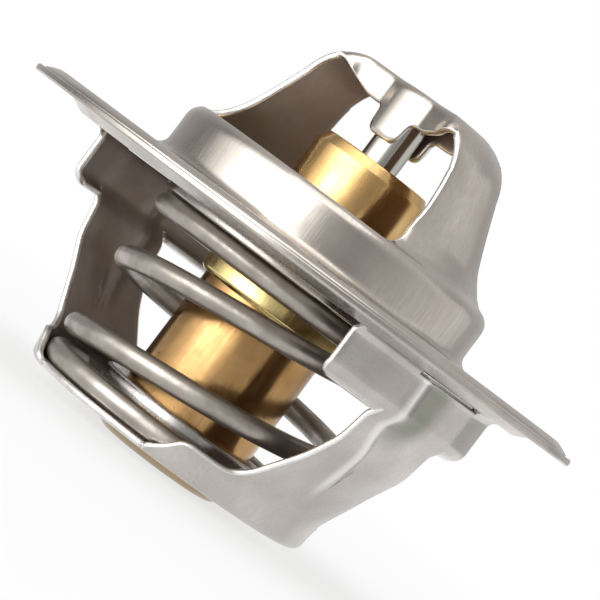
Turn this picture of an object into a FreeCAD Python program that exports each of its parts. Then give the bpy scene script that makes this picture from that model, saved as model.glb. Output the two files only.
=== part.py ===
import FreeCAD, Part
import math
import os

# Engine thermostat, wax type, for a 54 mm housing.
# Millimetres. +Z runs along the piston towards the bridge, the bridge and cage arms stand at +X and -X.
# The origin is the centre of the seat ring's underside.

# Sheets and joints between the pieces
bridge_sheet = 0.6
seat_sheet = 0.6
cage_sheet = 0.6
disc_sheet = 0.6
seat_gap = 0.05
slide_gap = 0.05
touch_gap = 0.04
cut_margin = 1.0

# Seat ring
rim_radius = 27.0
seat_bore_radius = 12.15
seat_lip_depth = 0.55
seat_bend_radius = 0.9
seat_free_radius = 23.15

# Bridge frame: flange layer and collar
bridge_flange_radius = 26.4
flange_bevel_width = 1.2
flange_bevel_drop = 0.45
flange_edge_radius = 0.1
collar_radius = 15.0
collar_foot_radius = 1.0
collar_height = 4.7
shoulder_radius = 1.5
arm_foot_inset = 1.7
arm_foot_rise = 0.95
arm_foot_radius = 2.0
arm_ankle_inset = 2.9
arm_ankle_rise = 2.7
arm_ankle_radius = 5.0

# Bridge frame: arms, strap and tongues
bridge_height = 17.3
arm_top_radius = 8.6
arm_bend_radius = 5.0
sill_height = 5.75
arm_foot_half_width = 6.6
arm_middle_half_width = 4.6
arm_half_width = 3.65
arm_middle_rise = 3.65
arm_narrow_rise = 7.5
window_corner_radius = 3.0
arm_side_radius = 11.0
strap_half_length = 7.2
strap_waist_place = 2.4
strap_waist_half_width = 1.95
strap_crown_half_width = 2.75
strap_waist_radius = 1.0
strap_crown_radius = 4.0
strap_bend_radius = 0.9
wall_end_depth = 1.25
wall_depth = 2.6
wall_full_place = 3.5
wall_corner_radius = 2.0
tongue_half_width = 1.8
tongue_end_half_width = 1.5
tongue_depth = 4.85
tongue_end_radius = 1.4
tongue_root_radius = 0.7

# Spring cage
cage_flange_radius = 23.1
cage_bevel_width = 1.2
cage_wall_radius = 19.9
cage_wall_bend = 0.8
tab_depth = 5.4
tab_half_angle = 33.0
tab_corner_radius = 1.0
slit_width = 0.35
slit_height = 0.5
cage_shoulder_depth = 4.6
cage_arm_top_radius = 18.8
cage_arm_top_depth = 6.0
cage_knee_radius = 18.2
cage_knee_depth = 8.8
cage_knee_bend = 5.0
cage_arm_half_width = 4.9
cage_arm_foot_half_width = 6.0
cage_flare_depth = 11.5
cage_flare_radius = 6.0
cage_arm_foot_radius = 2.0
cage_cup_inset_radius = 13.78
cage_cup_inset_depth = 16.3
cage_cup_bend = 2.5
cage_cup_radius = 13.5
cage_depth = 18.8
cage_bottom_bend = 0.9
cup_wall_height = 2.45
cup_wall_end_angle = 47.7
cup_wall_foot_angle = 57.5
cage_floor_edge_inset = 0.9
hole_collar_clearance = 1.3
hole_collar_height = 3.2
hole_collar_bend = 0.8
panel_half_width = 3.3
panel_knee_half_width = 3.1
panel_knee_depth = 6.5
panel_knee_radius = 5.0
panel_foot_half_width = 0.3
panel_inset = 0.45
panel_top_depth = 0.95
panel_slot_height = 0.2
panel_foot_depth = 14.0
slot_half_width = 4.1

# Wax element
piston_radius = 1.73
piston_end_height = -0.6
piston_chamfer = 0.25
guide_radius = 5.42
guide_height = 10.4
guide_lip_width = 0.5
guide_lip_height = 0.7
guide_lip_radius = 0.3
guide_shoulder_radius = 0.15
skirt_radius = 6.7
skirt_top_depth = 2.45
skirt_chamfer = 0.2
skirt_length = 2.0
skirt_wall = 0.3
skirt_lip_height = 0.3
guide_web_depth = 3.25
plug_radius = 2.3
plug_top_depth = 1.0
diaphragm_thickness = 0.35
cup_flange_thickness = 0.55
cup_radius = 6.08
cup_wall = 0.6
cup_floor = 0.7
cup_edge_radius = 1.0
cup_reach = 1.03
washer_fit = 0.03

# Valve disc and its retaining ring
disc_radius = 12.9
disc_rim_width = 2.6
disc_hub_radius = 7.9
disc_bend_radius = 1.0
disc_edge_radius = 0.12
hub_fit = 0.03
ring_section_width = 1.15
ring_section_height = 0.55
ring_groove_depth = 0.25
ring_opening_angle = 24.0

# Main spring
wire_radius = 0.98
spring_radius = 11.92
spring_start_angle = -173.0
spring_point_angle = 18.0
# Angle along the wire from its lower end, and share of the spring's height that it has risen there.
spring_angle_shares = [
    (0.0, 0.0),
    (122.0, 0.0),
    (212.0, 0.025),
    (272.0, 0.075),
    (332.0, 0.122),
    (392.0, 0.167),
    (482.0, 0.285),
    (572.0, 0.425),
    (662.0, 0.515),
    (752.0, 0.622),
    (842.0, 0.77),
    (932.0, 0.9),
    (1022.0, 0.965),
    (1112.0, 0.993),
    (1172.0, 1.0),
    (1255.0, 1.0),
]

# Heights that follow from the stack of sheets
flange_bottom = seat_sheet
flange_top = seat_sheet + bridge_sheet
cage_flange_bottom = -cage_sheet
strap_underside = bridge_height - bridge_sheet
disc_top = -seat_lip_depth - seat_gap
disc_bottom = disc_top - disc_sheet
cage_floor_top = -cage_depth + cage_sheet
skirt_bottom = -skirt_top_depth - skirt_length
cup_bottom = -cage_depth - cup_reach
cup_flange_top = -guide_web_depth - diaphragm_thickness
cup_flange_bottom = cup_flange_top - cup_flange_thickness
hole_radius = cup_radius + hole_collar_clearance
axis_reach = 40.0


def in_section(a, b):
    """Point of a turned outline: radius and height."""
    return FreeCAD.Vector(a, 0.0, b)


def in_front(a, b):
    """Point of an outline drawn across the arms: Y and height."""
    return FreeCAD.Vector(0.0, a, b)


def in_plan(a, b):
    """Point of an outline drawn from above: X and Y."""
    return FreeCAD.Vector(a, b, 0.0)


def direction(start, end):
    """Unit direction between two corners."""
    length = math.hypot(end[0] - start[0], end[1] - start[1])
    return ((end[0] - start[0]) / length, (end[1] - start[1]) / length)


def offset_line(corners, distance):
    """Open line of (a, b, radius) corners moved to its left, to its right for a negative distance."""
    last = len(corners) - 1
    moved = []
    for index, (a, b, radius) in enumerate(corners):
        before = direction(corners[max(index - 1, 0)], corners[max(index, 1)])
        after = direction(corners[min(index, last - 1)], corners[min(index + 1, last)])
        cosine = before[0] * after[0] + before[1] * after[1]
        turn = before[0] * after[1] - before[1] * after[0]
        scale = distance / (1.0 + cosine)
        new_a = a - scale * (before[1] + after[1])
        new_b = b + scale * (before[0] + after[0])
        new_radius = 0.0
        if 0 < index < last:
            new_radius = max(radius - distance * math.copysign(1.0, turn), 0.0)
        moved.append((new_a, new_b, new_radius))
    return moved


def rounded_face(corners, place):
    """Flat face inside a closed outline of (a, b, radius) corners, each radius limited by its two sides."""
    count = len(corners)
    arcs = []
    for index, (a, b, radius) in enumerate(corners):
        previous = corners[index - 1]
        following = corners[(index + 1) % count]
        before = direction(previous, (a, b))
        after = direction((a, b), following)
        cosine = max(-1.0, min(1.0, before[0] * after[0] + before[1] * after[1]))
        half_turn = math.acos(cosine) / 2.0
        if radius <= 0.0 or half_turn < 1e-4:
            arcs.append(((a, b), (a, b), (a, b)))
            continue
        room_before = math.hypot(a - previous[0], b - previous[1]) * 0.49
        room_after = math.hypot(a - following[0], b - following[1]) * 0.49
        tangent = min(radius * math.tan(half_turn), room_before, room_after)
        bulge = tangent * (1.0 - math.cos(half_turn)) / math.tan(half_turn)
        start = (a - before[0] * tangent, b - before[1] * tangent)
        end = (a + after[0] * tangent, b + after[1] * tangent)
        middle = ((start[0] + end[0]) / 2.0, (start[1] + end[1]) / 2.0)
        toward = direction(middle, (a, b))
        arcs.append((start, (middle[0] + toward[0] * bulge, middle[1] + toward[1] * bulge), end))
    edges = []
    for index in range(count):
        start, middle, end = arcs[index]
        if start != end:
            edges.append(Part.Arc(place(*start), place(*middle), place(*end)).toShape())
        following = arcs[(index + 1) % count][0]
        if math.hypot(following[0] - end[0], following[1] - end[1]) > 1e-6:
            edges.append(Part.LineSegment(place(*end), place(*following)).toShape())
    return Part.Face(Part.Wire(edges))


def turned(corners):
    """Solid of revolution about the Z axis from a closed outline of radius and height."""
    face = rounded_face(corners, in_section)
    return face.revolve(FreeCAD.Vector(0, 0, 0), FreeCAD.Vector(0, 0, 1), 360)


def turned_sheet(corners, thickness):
    """Revolved sheet: the line of corners is one surface, the other lies on its left, or right if negative."""
    return turned(corners + offset_line(corners, thickness)[::-1])


def mirrored_outline(half):
    """Closed outline from the half with positive first values, listed from one end to the other."""
    return half + [(-a, b, radius) for a, b, radius in reversed(half)]


def ring(inner, outer, bottom, top):
    """Plain ring or disc about the Z axis."""
    body = Part.makeCylinder(outer, top - bottom, FreeCAD.Vector(0, 0, bottom))
    if inner > 0.0:
        body = body.cut(Part.makeCylinder(inner, top - bottom, FreeCAD.Vector(0, 0, bottom)))
    return body


def block(half_length, half_width, bottom, top):
    """Box centred on the Z axis."""
    corner = FreeCAD.Vector(-half_length, -half_width, bottom)
    return Part.makeBox(2.0 * half_length, 2.0 * half_width, top - bottom, corner)


def bridge_line():
    """Outer surface of the pressed bridge, from the flange to the axis."""
    shoulder = flange_bottom + collar_height
    return [
        (bridge_flange_radius, flange_top, 0.0),
        (collar_radius, flange_top, collar_foot_radius),
        (collar_radius, shoulder, shoulder_radius),
        (collar_radius - arm_foot_inset, shoulder + arm_foot_rise, arm_foot_radius),
        (collar_radius - arm_ankle_inset, shoulder + arm_ankle_rise, arm_ankle_radius),
        (arm_top_radius, bridge_height, arm_bend_radius),
        (0.0, bridge_height, 0.0),
    ]


def bridge_shell():
    """Revolved sheet of the bridge with the bevelled edge of its flange."""
    outer = bridge_line()
    inner = offset_line(outer, bridge_sheet)
    bevel = [
        (bridge_flange_radius, flange_top - flange_bevel_drop, flange_edge_radius),
        (bridge_flange_radius - flange_bevel_width, flange_top, flange_bevel_width),
    ]
    return turned(bevel + outer[1:] + inner[::-1])


def bridge_window_mask():
    """Everything that stays of the revolved bridge, seen along the arms."""
    half = [
        (axis_reach, -cut_margin, 0.0),
        (axis_reach, sill_height, 0.0),
        (arm_foot_half_width, sill_height, window_corner_radius),
        (arm_middle_half_width, sill_height + arm_middle_rise, arm_side_radius),
        (arm_half_width, sill_height + arm_narrow_rise, arm_side_radius),
        (arm_half_width, bridge_height + cut_margin, 0.0),
    ]
    face = rounded_face(mirrored_outline(half), in_front)
    mask = face.extrude(FreeCAD.Vector(2.0 * axis_reach, 0, 0))
    mask.translate(FreeCAD.Vector(-axis_reach, 0, 0))
    return mask


def strap_edge():
    """One long edge of the strap from above, from its +X end to its -X end."""
    half = [
        (strap_half_length, arm_half_width, 0.0),
        (strap_waist_place, strap_waist_half_width, strap_waist_radius),
    ]
    crown = [(0.0, strap_crown_half_width, strap_crown_radius)]
    return half + crown + [(-a, b, radius) for a, b, radius in reversed(half)]


def strap_block(edge, top, bend):
    """Upright block in the outline of the strap with its two long top edges rounded."""
    outline = edge + [(a, -b, radius) for a, b, radius in reversed(edge)]
    height = tongue_depth + 2.0 * cut_margin
    body = rounded_face(outline, in_plan).extrude(FreeCAD.Vector(0, 0, height))
    body.translate(FreeCAD.Vector(0, 0, top - height))
    long_edges = []
    for candidate in body.Edges:
        heights = [vertex.Z for vertex in candidate.Vertexes]
        places = [abs(vertex.X) for vertex in candidate.Vertexes]
        at_end = min(places) > strap_half_length - 1e-3
        if min(heights) > top - 1e-3 and not at_end:
            long_edges.append(candidate)
    return body.makeFillet(bend, long_edges)


def strap_channel():
    """Middle of the bridge: the strap with its side walls and the two tongues beside the piston."""
    outer_line = bridge_line()
    inner_line = offset_line(outer_line, bridge_sheet)
    foot = strap_underside - tongue_depth - cut_margin
    outer_core = turned(outer_line[3:] + [(0.0, foot, 0.0), (outer_line[3][0], foot, 0.0)])
    inner_core = turned(inner_line[3:] + [(0.0, foot, 0.0), (inner_line[3][0], foot, 0.0)])
    edge = strap_edge()
    inner_edge = [(a, b, radius) for a, b, radius in offset_line(edge, bridge_sheet)]
    inner_edge[0] = (strap_half_length + cut_margin, inner_edge[0][1], 0.0)
    inner_edge[-1] = (-strap_half_length - cut_margin, inner_edge[-1][1], 0.0)
    outside = strap_block(edge, bridge_height, strap_bend_radius).common(outer_core)
    inside = strap_block(inner_edge, strap_underside, strap_bend_radius - bridge_sheet).common(inner_core)
    wall_half = [
        (strap_half_length, bridge_height + cut_margin, 0.0),
        (strap_half_length, strap_underside - wall_end_depth + bridge_sheet, 0.0),
        (wall_full_place, bridge_height - wall_depth, wall_corner_radius),
        (tongue_half_width, bridge_height - wall_depth, tongue_root_radius),
        (tongue_end_half_width, bridge_height - tongue_depth, tongue_end_radius),
    ]
    face = rounded_face(mirrored_outline(wall_half), in_section)
    keep = face.extrude(FreeCAD.Vector(0, 2.0 * (arm_half_width + cut_margin), 0))
    keep.translate(FreeCAD.Vector(0, -arm_half_width - cut_margin, 0))
    return outside.cut(inside).common(keep)


def make_bridge_frame():
    shell = bridge_shell().common(bridge_window_mask())
    foot = sill_height + 2.0 * cut_margin
    middle = block(strap_half_length, arm_half_width + cut_margin, foot, bridge_height + cut_margin)
    return shell.cut(middle).fuse(strap_channel()).removeSplitter()


def make_seat_ring():
    """Seat ring, its underside divided where the cage's flange ends and the free band begins."""
    line = [
        (rim_radius, seat_sheet, 0.0),
        (seat_bore_radius, seat_sheet, seat_bend_radius),
        (seat_bore_radius, -seat_lip_depth, 0.0),
    ]
    lip, bend, rim = offset_line(line, seat_sheet)[::-1]
    return turned(line + [lip, bend, (seat_free_radius, 0.0, 0.0), rim])


def cage_line(inset):
    """Outer surface of the pressed cage, from the flange to the collar of the hole."""
    return [
        (cage_flange_radius, cage_flange_bottom, 0.0),
        (cage_wall_radius - inset, cage_flange_bottom, cage_wall_bend),
        (cage_wall_radius - inset, -cage_shoulder_depth, 2.0 * cage_wall_bend),
        (cage_arm_top_radius - inset, -cage_arm_top_depth, cage_wall_bend),
        (cage_knee_radius - inset, -cage_knee_depth, cage_knee_bend),
        (cage_cup_inset_radius - inset, -cage_cup_inset_depth, cage_cup_bend),
        (cage_cup_radius - inset, -cage_depth, cage_bottom_bend),
        (hole_radius, -cage_depth, hole_collar_bend),
        (hole_radius, cage_floor_top - cage_sheet + hole_collar_height, 0.0),
    ]


def cage_mask():
    """Tab walls, arms and cup wall of the cage, seen along the arms."""
    tab_half_width = cage_wall_radius * math.sin(math.radians(tab_half_angle))
    wall_top = cup_wall_height - cage_depth
    wall_end = cage_cup_radius * math.sin(math.radians(cup_wall_end_angle))
    wall_foot = cage_cup_radius * math.sin(math.radians(cup_wall_foot_angle))
    half = [
        (tab_half_width, cut_margin, 0.0),
        (tab_half_width, -tab_depth, tab_corner_radius),
        (cage_arm_half_width + slit_width, -tab_depth, 0.0),
        (cage_arm_half_width + slit_width, slit_height - tab_depth, slit_width / 2.0),
        (cage_arm_half_width, slit_height - tab_depth, slit_width / 2.0),
        (cage_arm_half_width, -cage_flare_depth, cage_flare_radius),
        (cage_arm_foot_half_width, wall_top, cage_arm_foot_radius),
        (wall_end, wall_top, cage_bottom_bend),
        (wall_foot, cage_floor_top, 0.0),
        (wall_foot, -cage_depth - cut_margin, 0.0),
    ]
    face = rounded_face(mirrored_outline(half), in_front)
    inner = cage_cup_radius / 2.0
    side = face.extrude(FreeCAD.Vector(axis_reach, 0, 0))
    side.translate(FreeCAD.Vector(inner, 0, 0))
    return both_ends(side)


def both_ends(shape):
    """A shape on the +X side together with its half-turn copy on the -X side."""
    other = shape.copy()
    other.rotate(FreeCAD.Vector(0, 0, 0), FreeCAD.Vector(0, 0, 1), 180)
    return Part.makeCompound([shape, other])


def panel_wedge(top):
    """Tapering prism of the pressed-in panel on each arm, from the given height down."""
    half = [
        (panel_half_width, top, 0.0),
        (panel_knee_half_width, -panel_knee_depth, panel_knee_radius),
        (panel_foot_half_width, -panel_foot_depth, 0.0),
    ]
    side = rounded_face(mirrored_outline(half), in_front).extrude(FreeCAD.Vector(axis_reach, 0, 0))
    side.translate(FreeCAD.Vector(cage_cup_radius / 2.0, 0, 0))
    return both_ends(side)


def panel_slots():
    """Narrow slots across the top of the cage's arms, above the pressed-in panels."""
    bottom = -panel_top_depth - panel_slot_height
    tool = block(axis_reach, slot_half_width, bottom, -panel_top_depth)
    return tool.cut(block(cage_cup_radius / 2.0, slot_half_width + cut_margin, bottom, -panel_top_depth))


def make_spring_cage():
    sheet = turned_sheet(cage_line(0.0), -cage_sheet)
    pressed = turned_sheet(cage_line(panel_inset), -cage_sheet)
    flange_inner = cage_wall_radius + cage_wall_bend
    flange = sheet.common(ring(flange_inner, axis_reach, cage_flange_bottom - cut_margin, cut_margin))
    bevel_foot = cage_flange_bottom - touch_gap
    bevel_tool = turned(
        [
            (cage_flange_radius, 0.0, 0.0),
            (cage_flange_radius - cage_bevel_width, bevel_foot, 0.0),
            (axis_reach, bevel_foot, 0.0),
            (axis_reach, 0.0, 0.0),
        ]
    )
    floor_edge = cage_cup_radius - cage_floor_edge_inset
    floor_reach = cage_floor_top + hole_collar_height + cut_margin
    floor = sheet.common(ring(0.0, floor_edge, -cage_depth - cut_margin, floor_reach))
    wedge = panel_wedge(-panel_top_depth - panel_slot_height)
    walls = sheet.common(cage_mask()).cut([wedge, panel_slots()])
    panels = pressed.common(wedge)
    return flange.cut(bevel_tool).fuse([floor, walls, panels]).removeSplitter()


def make_piston():
    rod = Part.makeCylinder(
        piston_radius, strap_underside - piston_end_height, FreeCAD.Vector(0, 0, piston_end_height)
    )
    rims = [edge for edge in rod.Edges if edge.isClosed()]
    return rod.makeChamfer(piston_chamfer, rims)


def make_guide_body():
    bore = piston_radius + slide_gap
    groove = guide_radius - ring_groove_depth
    ring_bottom = -skirt_top_depth + disc_sheet + touch_gap
    ring_top = ring_bottom + ring_section_height
    outline = [
        (bore, guide_height, 0.0),
        (guide_radius - guide_lip_width, guide_height, guide_lip_radius),
        (guide_radius, guide_height - guide_lip_height, guide_shoulder_radius),
        (guide_radius, ring_top, 0.0),
        (groove, ring_top, 0.0),
        (groove, ring_bottom, 0.0),
        (guide_radius, ring_bottom, 0.0),
        (guide_radius, -skirt_top_depth, 0.0),
        (skirt_radius, -skirt_top_depth, skirt_chamfer),
        (skirt_radius, skirt_bottom, skirt_chamfer),
        (cup_radius + touch_gap, skirt_bottom, 0.0),
        (cup_radius + touch_gap, skirt_bottom + skirt_lip_height, 0.0),
        (skirt_radius - skirt_wall, skirt_bottom + skirt_lip_height, 0.0),
        (skirt_radius - skirt_wall, -guide_web_depth, 0.0),
        (plug_radius, -guide_web_depth, 0.0),
        (plug_radius, -plug_top_depth, 0.0),
        (bore, -plug_top_depth, 0.0),
    ]
    return turned(outline)


def make_wax_cup():
    outline = [
        (cup_radius - cup_wall, cup_flange_top, 0.0),
        (skirt_radius - skirt_wall - touch_gap, cup_flange_top, 0.0),
        (skirt_radius - skirt_wall - touch_gap, cup_flange_bottom + touch_gap, 0.0),
        (cup_radius, cup_flange_bottom + touch_gap, 0.0),
        (cup_radius, cup_bottom, cup_edge_radius),
        (0.0, cup_bottom, 0.0),
        (0.0, cup_bottom + cup_floor, 0.0),
        (cup_radius - cup_wall, cup_bottom + cup_floor, cup_edge_radius - cup_wall),
    ]
    return turned(outline)


def make_wax_charge():
    radius = cup_radius - cup_wall - touch_gap
    outline = [
        (0.0, cup_flange_top, 0.0),
        (radius, cup_flange_top, 0.0),
        (radius, cup_bottom + cup_floor + touch_gap, cup_edge_radius - cup_wall),
        (0.0, cup_bottom + cup_floor + touch_gap, 0.0),
    ]
    return turned(outline)


def make_diaphragm():
    return ring(0.0, skirt_radius - skirt_wall - touch_gap, cup_flange_top, -guide_web_depth)


def make_rubber_plug():
    return ring(0.0, plug_radius - touch_gap, -guide_web_depth, -plug_top_depth)


def make_backup_washer():
    return ring(0.0, piston_radius + slide_gap - washer_fit, -plug_top_depth, piston_end_height - touch_gap)


def make_valve_disc():
    hub_bottom = -skirt_top_depth
    line = [
        (disc_radius, disc_bottom, 0.0),
        (disc_radius - disc_rim_width, disc_bottom, disc_bend_radius),
        (disc_hub_radius, hub_bottom, disc_bend_radius),
        (guide_radius + hub_fit, hub_bottom, 0.0),
    ]
    outline = line + offset_line(line, -disc_sheet)[::-1]
    outline[0] = (disc_radius, disc_bottom, disc_edge_radius)
    outline[-1] = (disc_radius, disc_top, disc_edge_radius)
    return turned(outline)


def make_retaining_ring():
    bottom = -skirt_top_depth + disc_sheet + touch_gap / 2.0
    inner = guide_radius - ring_groove_depth + hub_fit
    body = ring(inner, inner + ring_section_width, bottom + touch_gap / 2.0, bottom + ring_section_height)
    reach = inner + ring_section_width + cut_margin
    half = reach * math.tan(math.radians(ring_opening_angle / 2.0))
    corners = [(0.0, 0.0, 0.0), (reach, -half, 0.0), (reach, half, 0.0)]
    wedge = rounded_face(corners, in_plan).extrude(FreeCAD.Vector(0, 0, 2.0 * skirt_top_depth))
    wedge.translate(FreeCAD.Vector(0, 0, -2.0 * skirt_top_depth))
    return body.cut(wedge)


def rise_slopes():
    """Slope of the spring's rise at each listed angle, zero where the wire lies flat."""
    slopes = [0.0]
    for before, here, after in zip(spring_angle_shares, spring_angle_shares[1:], spring_angle_shares[2:]):
        left = (here[1] - before[1]) / (here[0] - before[0])
        right = (after[1] - here[1]) / (after[0] - here[0])
        slopes.append(2.0 * left * right / (left + right) if left > 0.0 and right > 0.0 else 0.0)
    return slopes + [0.0]


def risen_share(angle, slopes):
    """Share of the spring's height at an angle along the wire, on a smooth line through the listed shares."""
    index = 0
    while index < len(spring_angle_shares) - 2 and angle > spring_angle_shares[index + 1][0]:
        index += 1
    start, low = spring_angle_shares[index]
    end, high = spring_angle_shares[index + 1]
    span = end - start
    t = (angle - start) / span
    bend_in = (1.0 + 2.0 * t) * (1.0 - t) ** 2 * low + t * (1.0 - t) ** 2 * slopes[index] * span
    bend_out = t**2 * (3.0 - 2.0 * t) * high + t**2 * (t - 1.0) * slopes[index + 1] * span
    return bend_in + bend_out


def make_main_spring():
    low = cage_floor_top + touch_gap + wire_radius
    high = disc_bottom - seat_gap - wire_radius
    whole = spring_angle_shares[-1][0]
    count = int(whole / spring_point_angle)
    slopes = rise_slopes()
    points = []
    for index in range(count + 1):
        angle = whole * index / count
        height = low + (high - low) * risen_share(angle, slopes)
        turn = math.radians(angle + spring_start_angle)
        points.append(FreeCAD.Vector(spring_radius * math.cos(turn), spring_radius * math.sin(turn), height))
    curve = Part.BSplineCurve()
    curve.interpolate(points)
    start = curve.FirstParameter
    section = Part.Wire([Part.makeCircle(wire_radius, curve.value(start), curve.tangent(start)[0])])
    return Part.Wire([curve.toShape()]).makePipeShell([section], True, True)


MAKERS = {
    "bridge_frame": make_bridge_frame,
    "seat_ring": make_seat_ring,
    "spring_cage": make_spring_cage,
    "piston": make_piston,
    "main_spring": make_main_spring,
    "guide_body": make_guide_body,
    "wax_cup": make_wax_cup,
    "wax_charge": make_wax_charge,
    "diaphragm": make_diaphragm,
    "rubber_plug": make_rubber_plug,
    "backup_washer": make_backup_washer,
    "valve_disc": make_valve_disc,
    "retaining_ring": make_retaining_ring,
}

os.makedirs("parts", exist_ok=True)
for name, maker in MAKERS.items():
    shape = maker()
    shape.exportStep("parts/" + name + ".step")
    print(name, "solids", len(shape.Solids), "valid", shape.isValid(), "volume", round(shape.Volume, 2))
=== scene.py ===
import logging
import math
from dataclasses import dataclass
from enum import Enum
from typing import Callable, Optional, Sequence

import bmesh
import bpy
import numpy as np
from mathutils import Matrix, Vector


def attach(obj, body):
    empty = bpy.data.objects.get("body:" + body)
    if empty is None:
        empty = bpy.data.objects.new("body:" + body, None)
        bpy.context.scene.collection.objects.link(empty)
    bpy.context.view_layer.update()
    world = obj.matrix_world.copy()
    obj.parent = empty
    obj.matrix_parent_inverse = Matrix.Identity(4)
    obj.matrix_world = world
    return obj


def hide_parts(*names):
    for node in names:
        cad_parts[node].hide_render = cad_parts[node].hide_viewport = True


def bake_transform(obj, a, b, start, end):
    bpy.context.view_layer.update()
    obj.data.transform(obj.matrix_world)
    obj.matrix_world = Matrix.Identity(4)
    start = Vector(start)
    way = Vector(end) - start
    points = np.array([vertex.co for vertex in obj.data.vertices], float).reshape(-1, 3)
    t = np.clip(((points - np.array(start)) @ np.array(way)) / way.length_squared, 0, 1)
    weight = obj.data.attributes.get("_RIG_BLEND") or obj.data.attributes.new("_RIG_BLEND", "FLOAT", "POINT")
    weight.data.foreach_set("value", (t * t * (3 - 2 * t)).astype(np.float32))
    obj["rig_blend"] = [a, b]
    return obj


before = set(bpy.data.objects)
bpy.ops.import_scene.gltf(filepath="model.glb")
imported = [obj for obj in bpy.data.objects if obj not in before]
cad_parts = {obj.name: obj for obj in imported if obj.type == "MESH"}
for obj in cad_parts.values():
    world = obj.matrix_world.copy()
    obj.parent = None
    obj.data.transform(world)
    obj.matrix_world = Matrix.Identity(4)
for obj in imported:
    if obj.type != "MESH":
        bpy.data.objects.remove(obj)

LOG = logging.getLogger("thermostat")
MM = 0.001
CUT_EDGE = "cut_edge"
# Faces of a sheet's inner side, which get a darker colour as painted shade.
SHADED_INNER_SIDE = "shaded_inner_side"
# Share of a second colour: a film on the guide's skirt, a darker olive-brown foot on the cup, and painted
# shade in the cage's pressed-in panels.
FILM_AND_SHADE = "film_and_shade"
# Points that get the bright edge colour as a painted highlight: the rib beside each cage panel and the
# rolled tab feet.
PAINTED_HIGHLIGHT = "painted_highlight"
FULL_TURN = 2.0 * math.pi
WHITE = (1.0, 1.0, 1.0, 1.0)
GRAIN_RANGE = (0.3, 0.7)

# Share of a straight run that an arc at its end may take, and the least turn of an arc in radians.
ARC_ROOM = 0.49
SMALLEST_TURN = 1e-3

# Distances in mm within which points are the same: on a line, on a solid, on a sheet.
SAME_PLACE = 1e-5
FINE_WELD = 1e-4
SHEET_WELD = 0.004

# Small distances in mm that keep a test of place clear of the row or edge that it looks for.
JUST_ABOVE = 0.001
ROW_ROOM = 0.01
TAB_FOOT_ROOM = 0.02
SLOT_ROOM = 0.05
EDGE_ROOM = 0.1

Corner = tuple[float, float, float]
Column = tuple[float, float, float]
Colour = tuple[float, float, float]
Place = tuple[float, float, float]
Spot = tuple[float, float]
Socket = bpy.types.NodeSocket
Mesh = bmesh.types.BMesh
Material = bpy.types.Material
Piece = bpy.types.Object


# ---------------------------------------------------------------- lines and sheets


def rounded_line(corners: Sequence[Corner], step: float = 8.0, closed: bool = False) -> np.ndarray:
    """Samples a line of straight runs joined by arcs.

    Args:
        corners: (a, b, radius) of each corner, in mm.
        step: largest angle between two samples of an arc, in degrees.
        closed: whether the last corner joins the first.

    Returns:
        The samples, one (a, b) row each.
    """
    count = len(corners)
    points: list[Spot] = []
    for index, (a, b, radius) in enumerate(corners):
        here = np.array([a, b])
        inner = closed or 0 < index < count - 1
        if not inner or radius <= 0.0:
            points.append((a, b))
            continue
        before = here - np.array(corners[index - 1][:2])
        after = np.array(corners[(index + 1) % count][:2]) - here
        room = ARC_ROOM * min(np.linalg.norm(before), np.linalg.norm(after))
        before = before / np.linalg.norm(before)
        after = after / np.linalg.norm(after)
        half = math.acos(float(np.clip(before @ after, -1.0, 1.0))) / 2.0
        if half < SMALLEST_TURN:
            points.append((a, b))
            continue
        tangent = min(radius * math.tan(half), room)
        radius = tangent / math.tan(half)
        turn = math.copysign(1.0, before[0] * after[1] - before[1] * after[0])
        side = turn * np.array([-before[1], before[0]])
        start = here - before * tangent
        centre = start + side * radius
        samples = max(2, math.ceil(math.degrees(2.0 * half) / step))
        for sample in range(samples + 1):
            angle = 2.0 * half * sample / samples
            spot = centre - side * radius * math.cos(angle) + before * radius * math.sin(angle)
            points.append((float(spot[0]), float(spot[1])))
    kept = [points[0]]
    for point in points[1:]:
        if math.hypot(point[0] - kept[-1][0], point[1] - kept[-1][1]) > SAME_PLACE:
            kept.append(point)
    return np.array(kept)


def guarded_outline(corners: Sequence[Corner], step: float = 12.0, guard: float = 0.12) -> np.ndarray:
    """Closed rounded outline, with samples beside each arc that keep flat faces flat in the shading.

    Args:
        corners: (a, b, radius) of each corner, in mm.
        step: largest angle between two samples of an arc, in degrees.
        guard: distance of the extra samples from the arc, in mm.

    Returns:
        The samples, one (a, b) row each.
    """
    line = rounded_line(corners, step, closed=True)
    kept = []
    for index, here in enumerate(line):
        following = line[(index + 1) % len(line)]
        kept.append(here)
        span = following - here
        length = float(np.linalg.norm(span))
        if length > 4.0 * guard:
            inset = span * guard / length
            kept += [here + inset, following - inset]
    return np.array(kept)


def clamp(value: float) -> float:
    """Value held between 0 and 1."""
    return max(0.0, min(1.0, value))


def between(value: float, low: float, high: float) -> float:
    """Smooth rise from 0 at the low value to 1 at the high one."""
    share = clamp((value - low) / (high - low))
    return share * share * (3.0 - 2.0 * share)


def read_line(line: np.ndarray, height: float) -> float:
    """First value at a height on a line of (value, height) rows that runs downwards."""
    return float(np.interp(height, line[::-1, 1], line[::-1, 0]))


def whole_turn(sector: Sequence[float], rest_columns: int) -> list[float]:
    """Angles of the columns of a band all the way round.

    Args:
        sector: angles of the columns under the +X arm, which are repeated under the other arm.
        rest_columns: number of columns from one arm to the other.

    Returns:
        The angles in order.
    """
    start, end = sector[-1], math.pi + sector[0]
    rest = [start + (end - start) * step / rest_columns for step in range(1, rest_columns + 1)]
    half = [*sector, *rest]
    return half + [angle + math.pi for angle in half[1:]]


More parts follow.
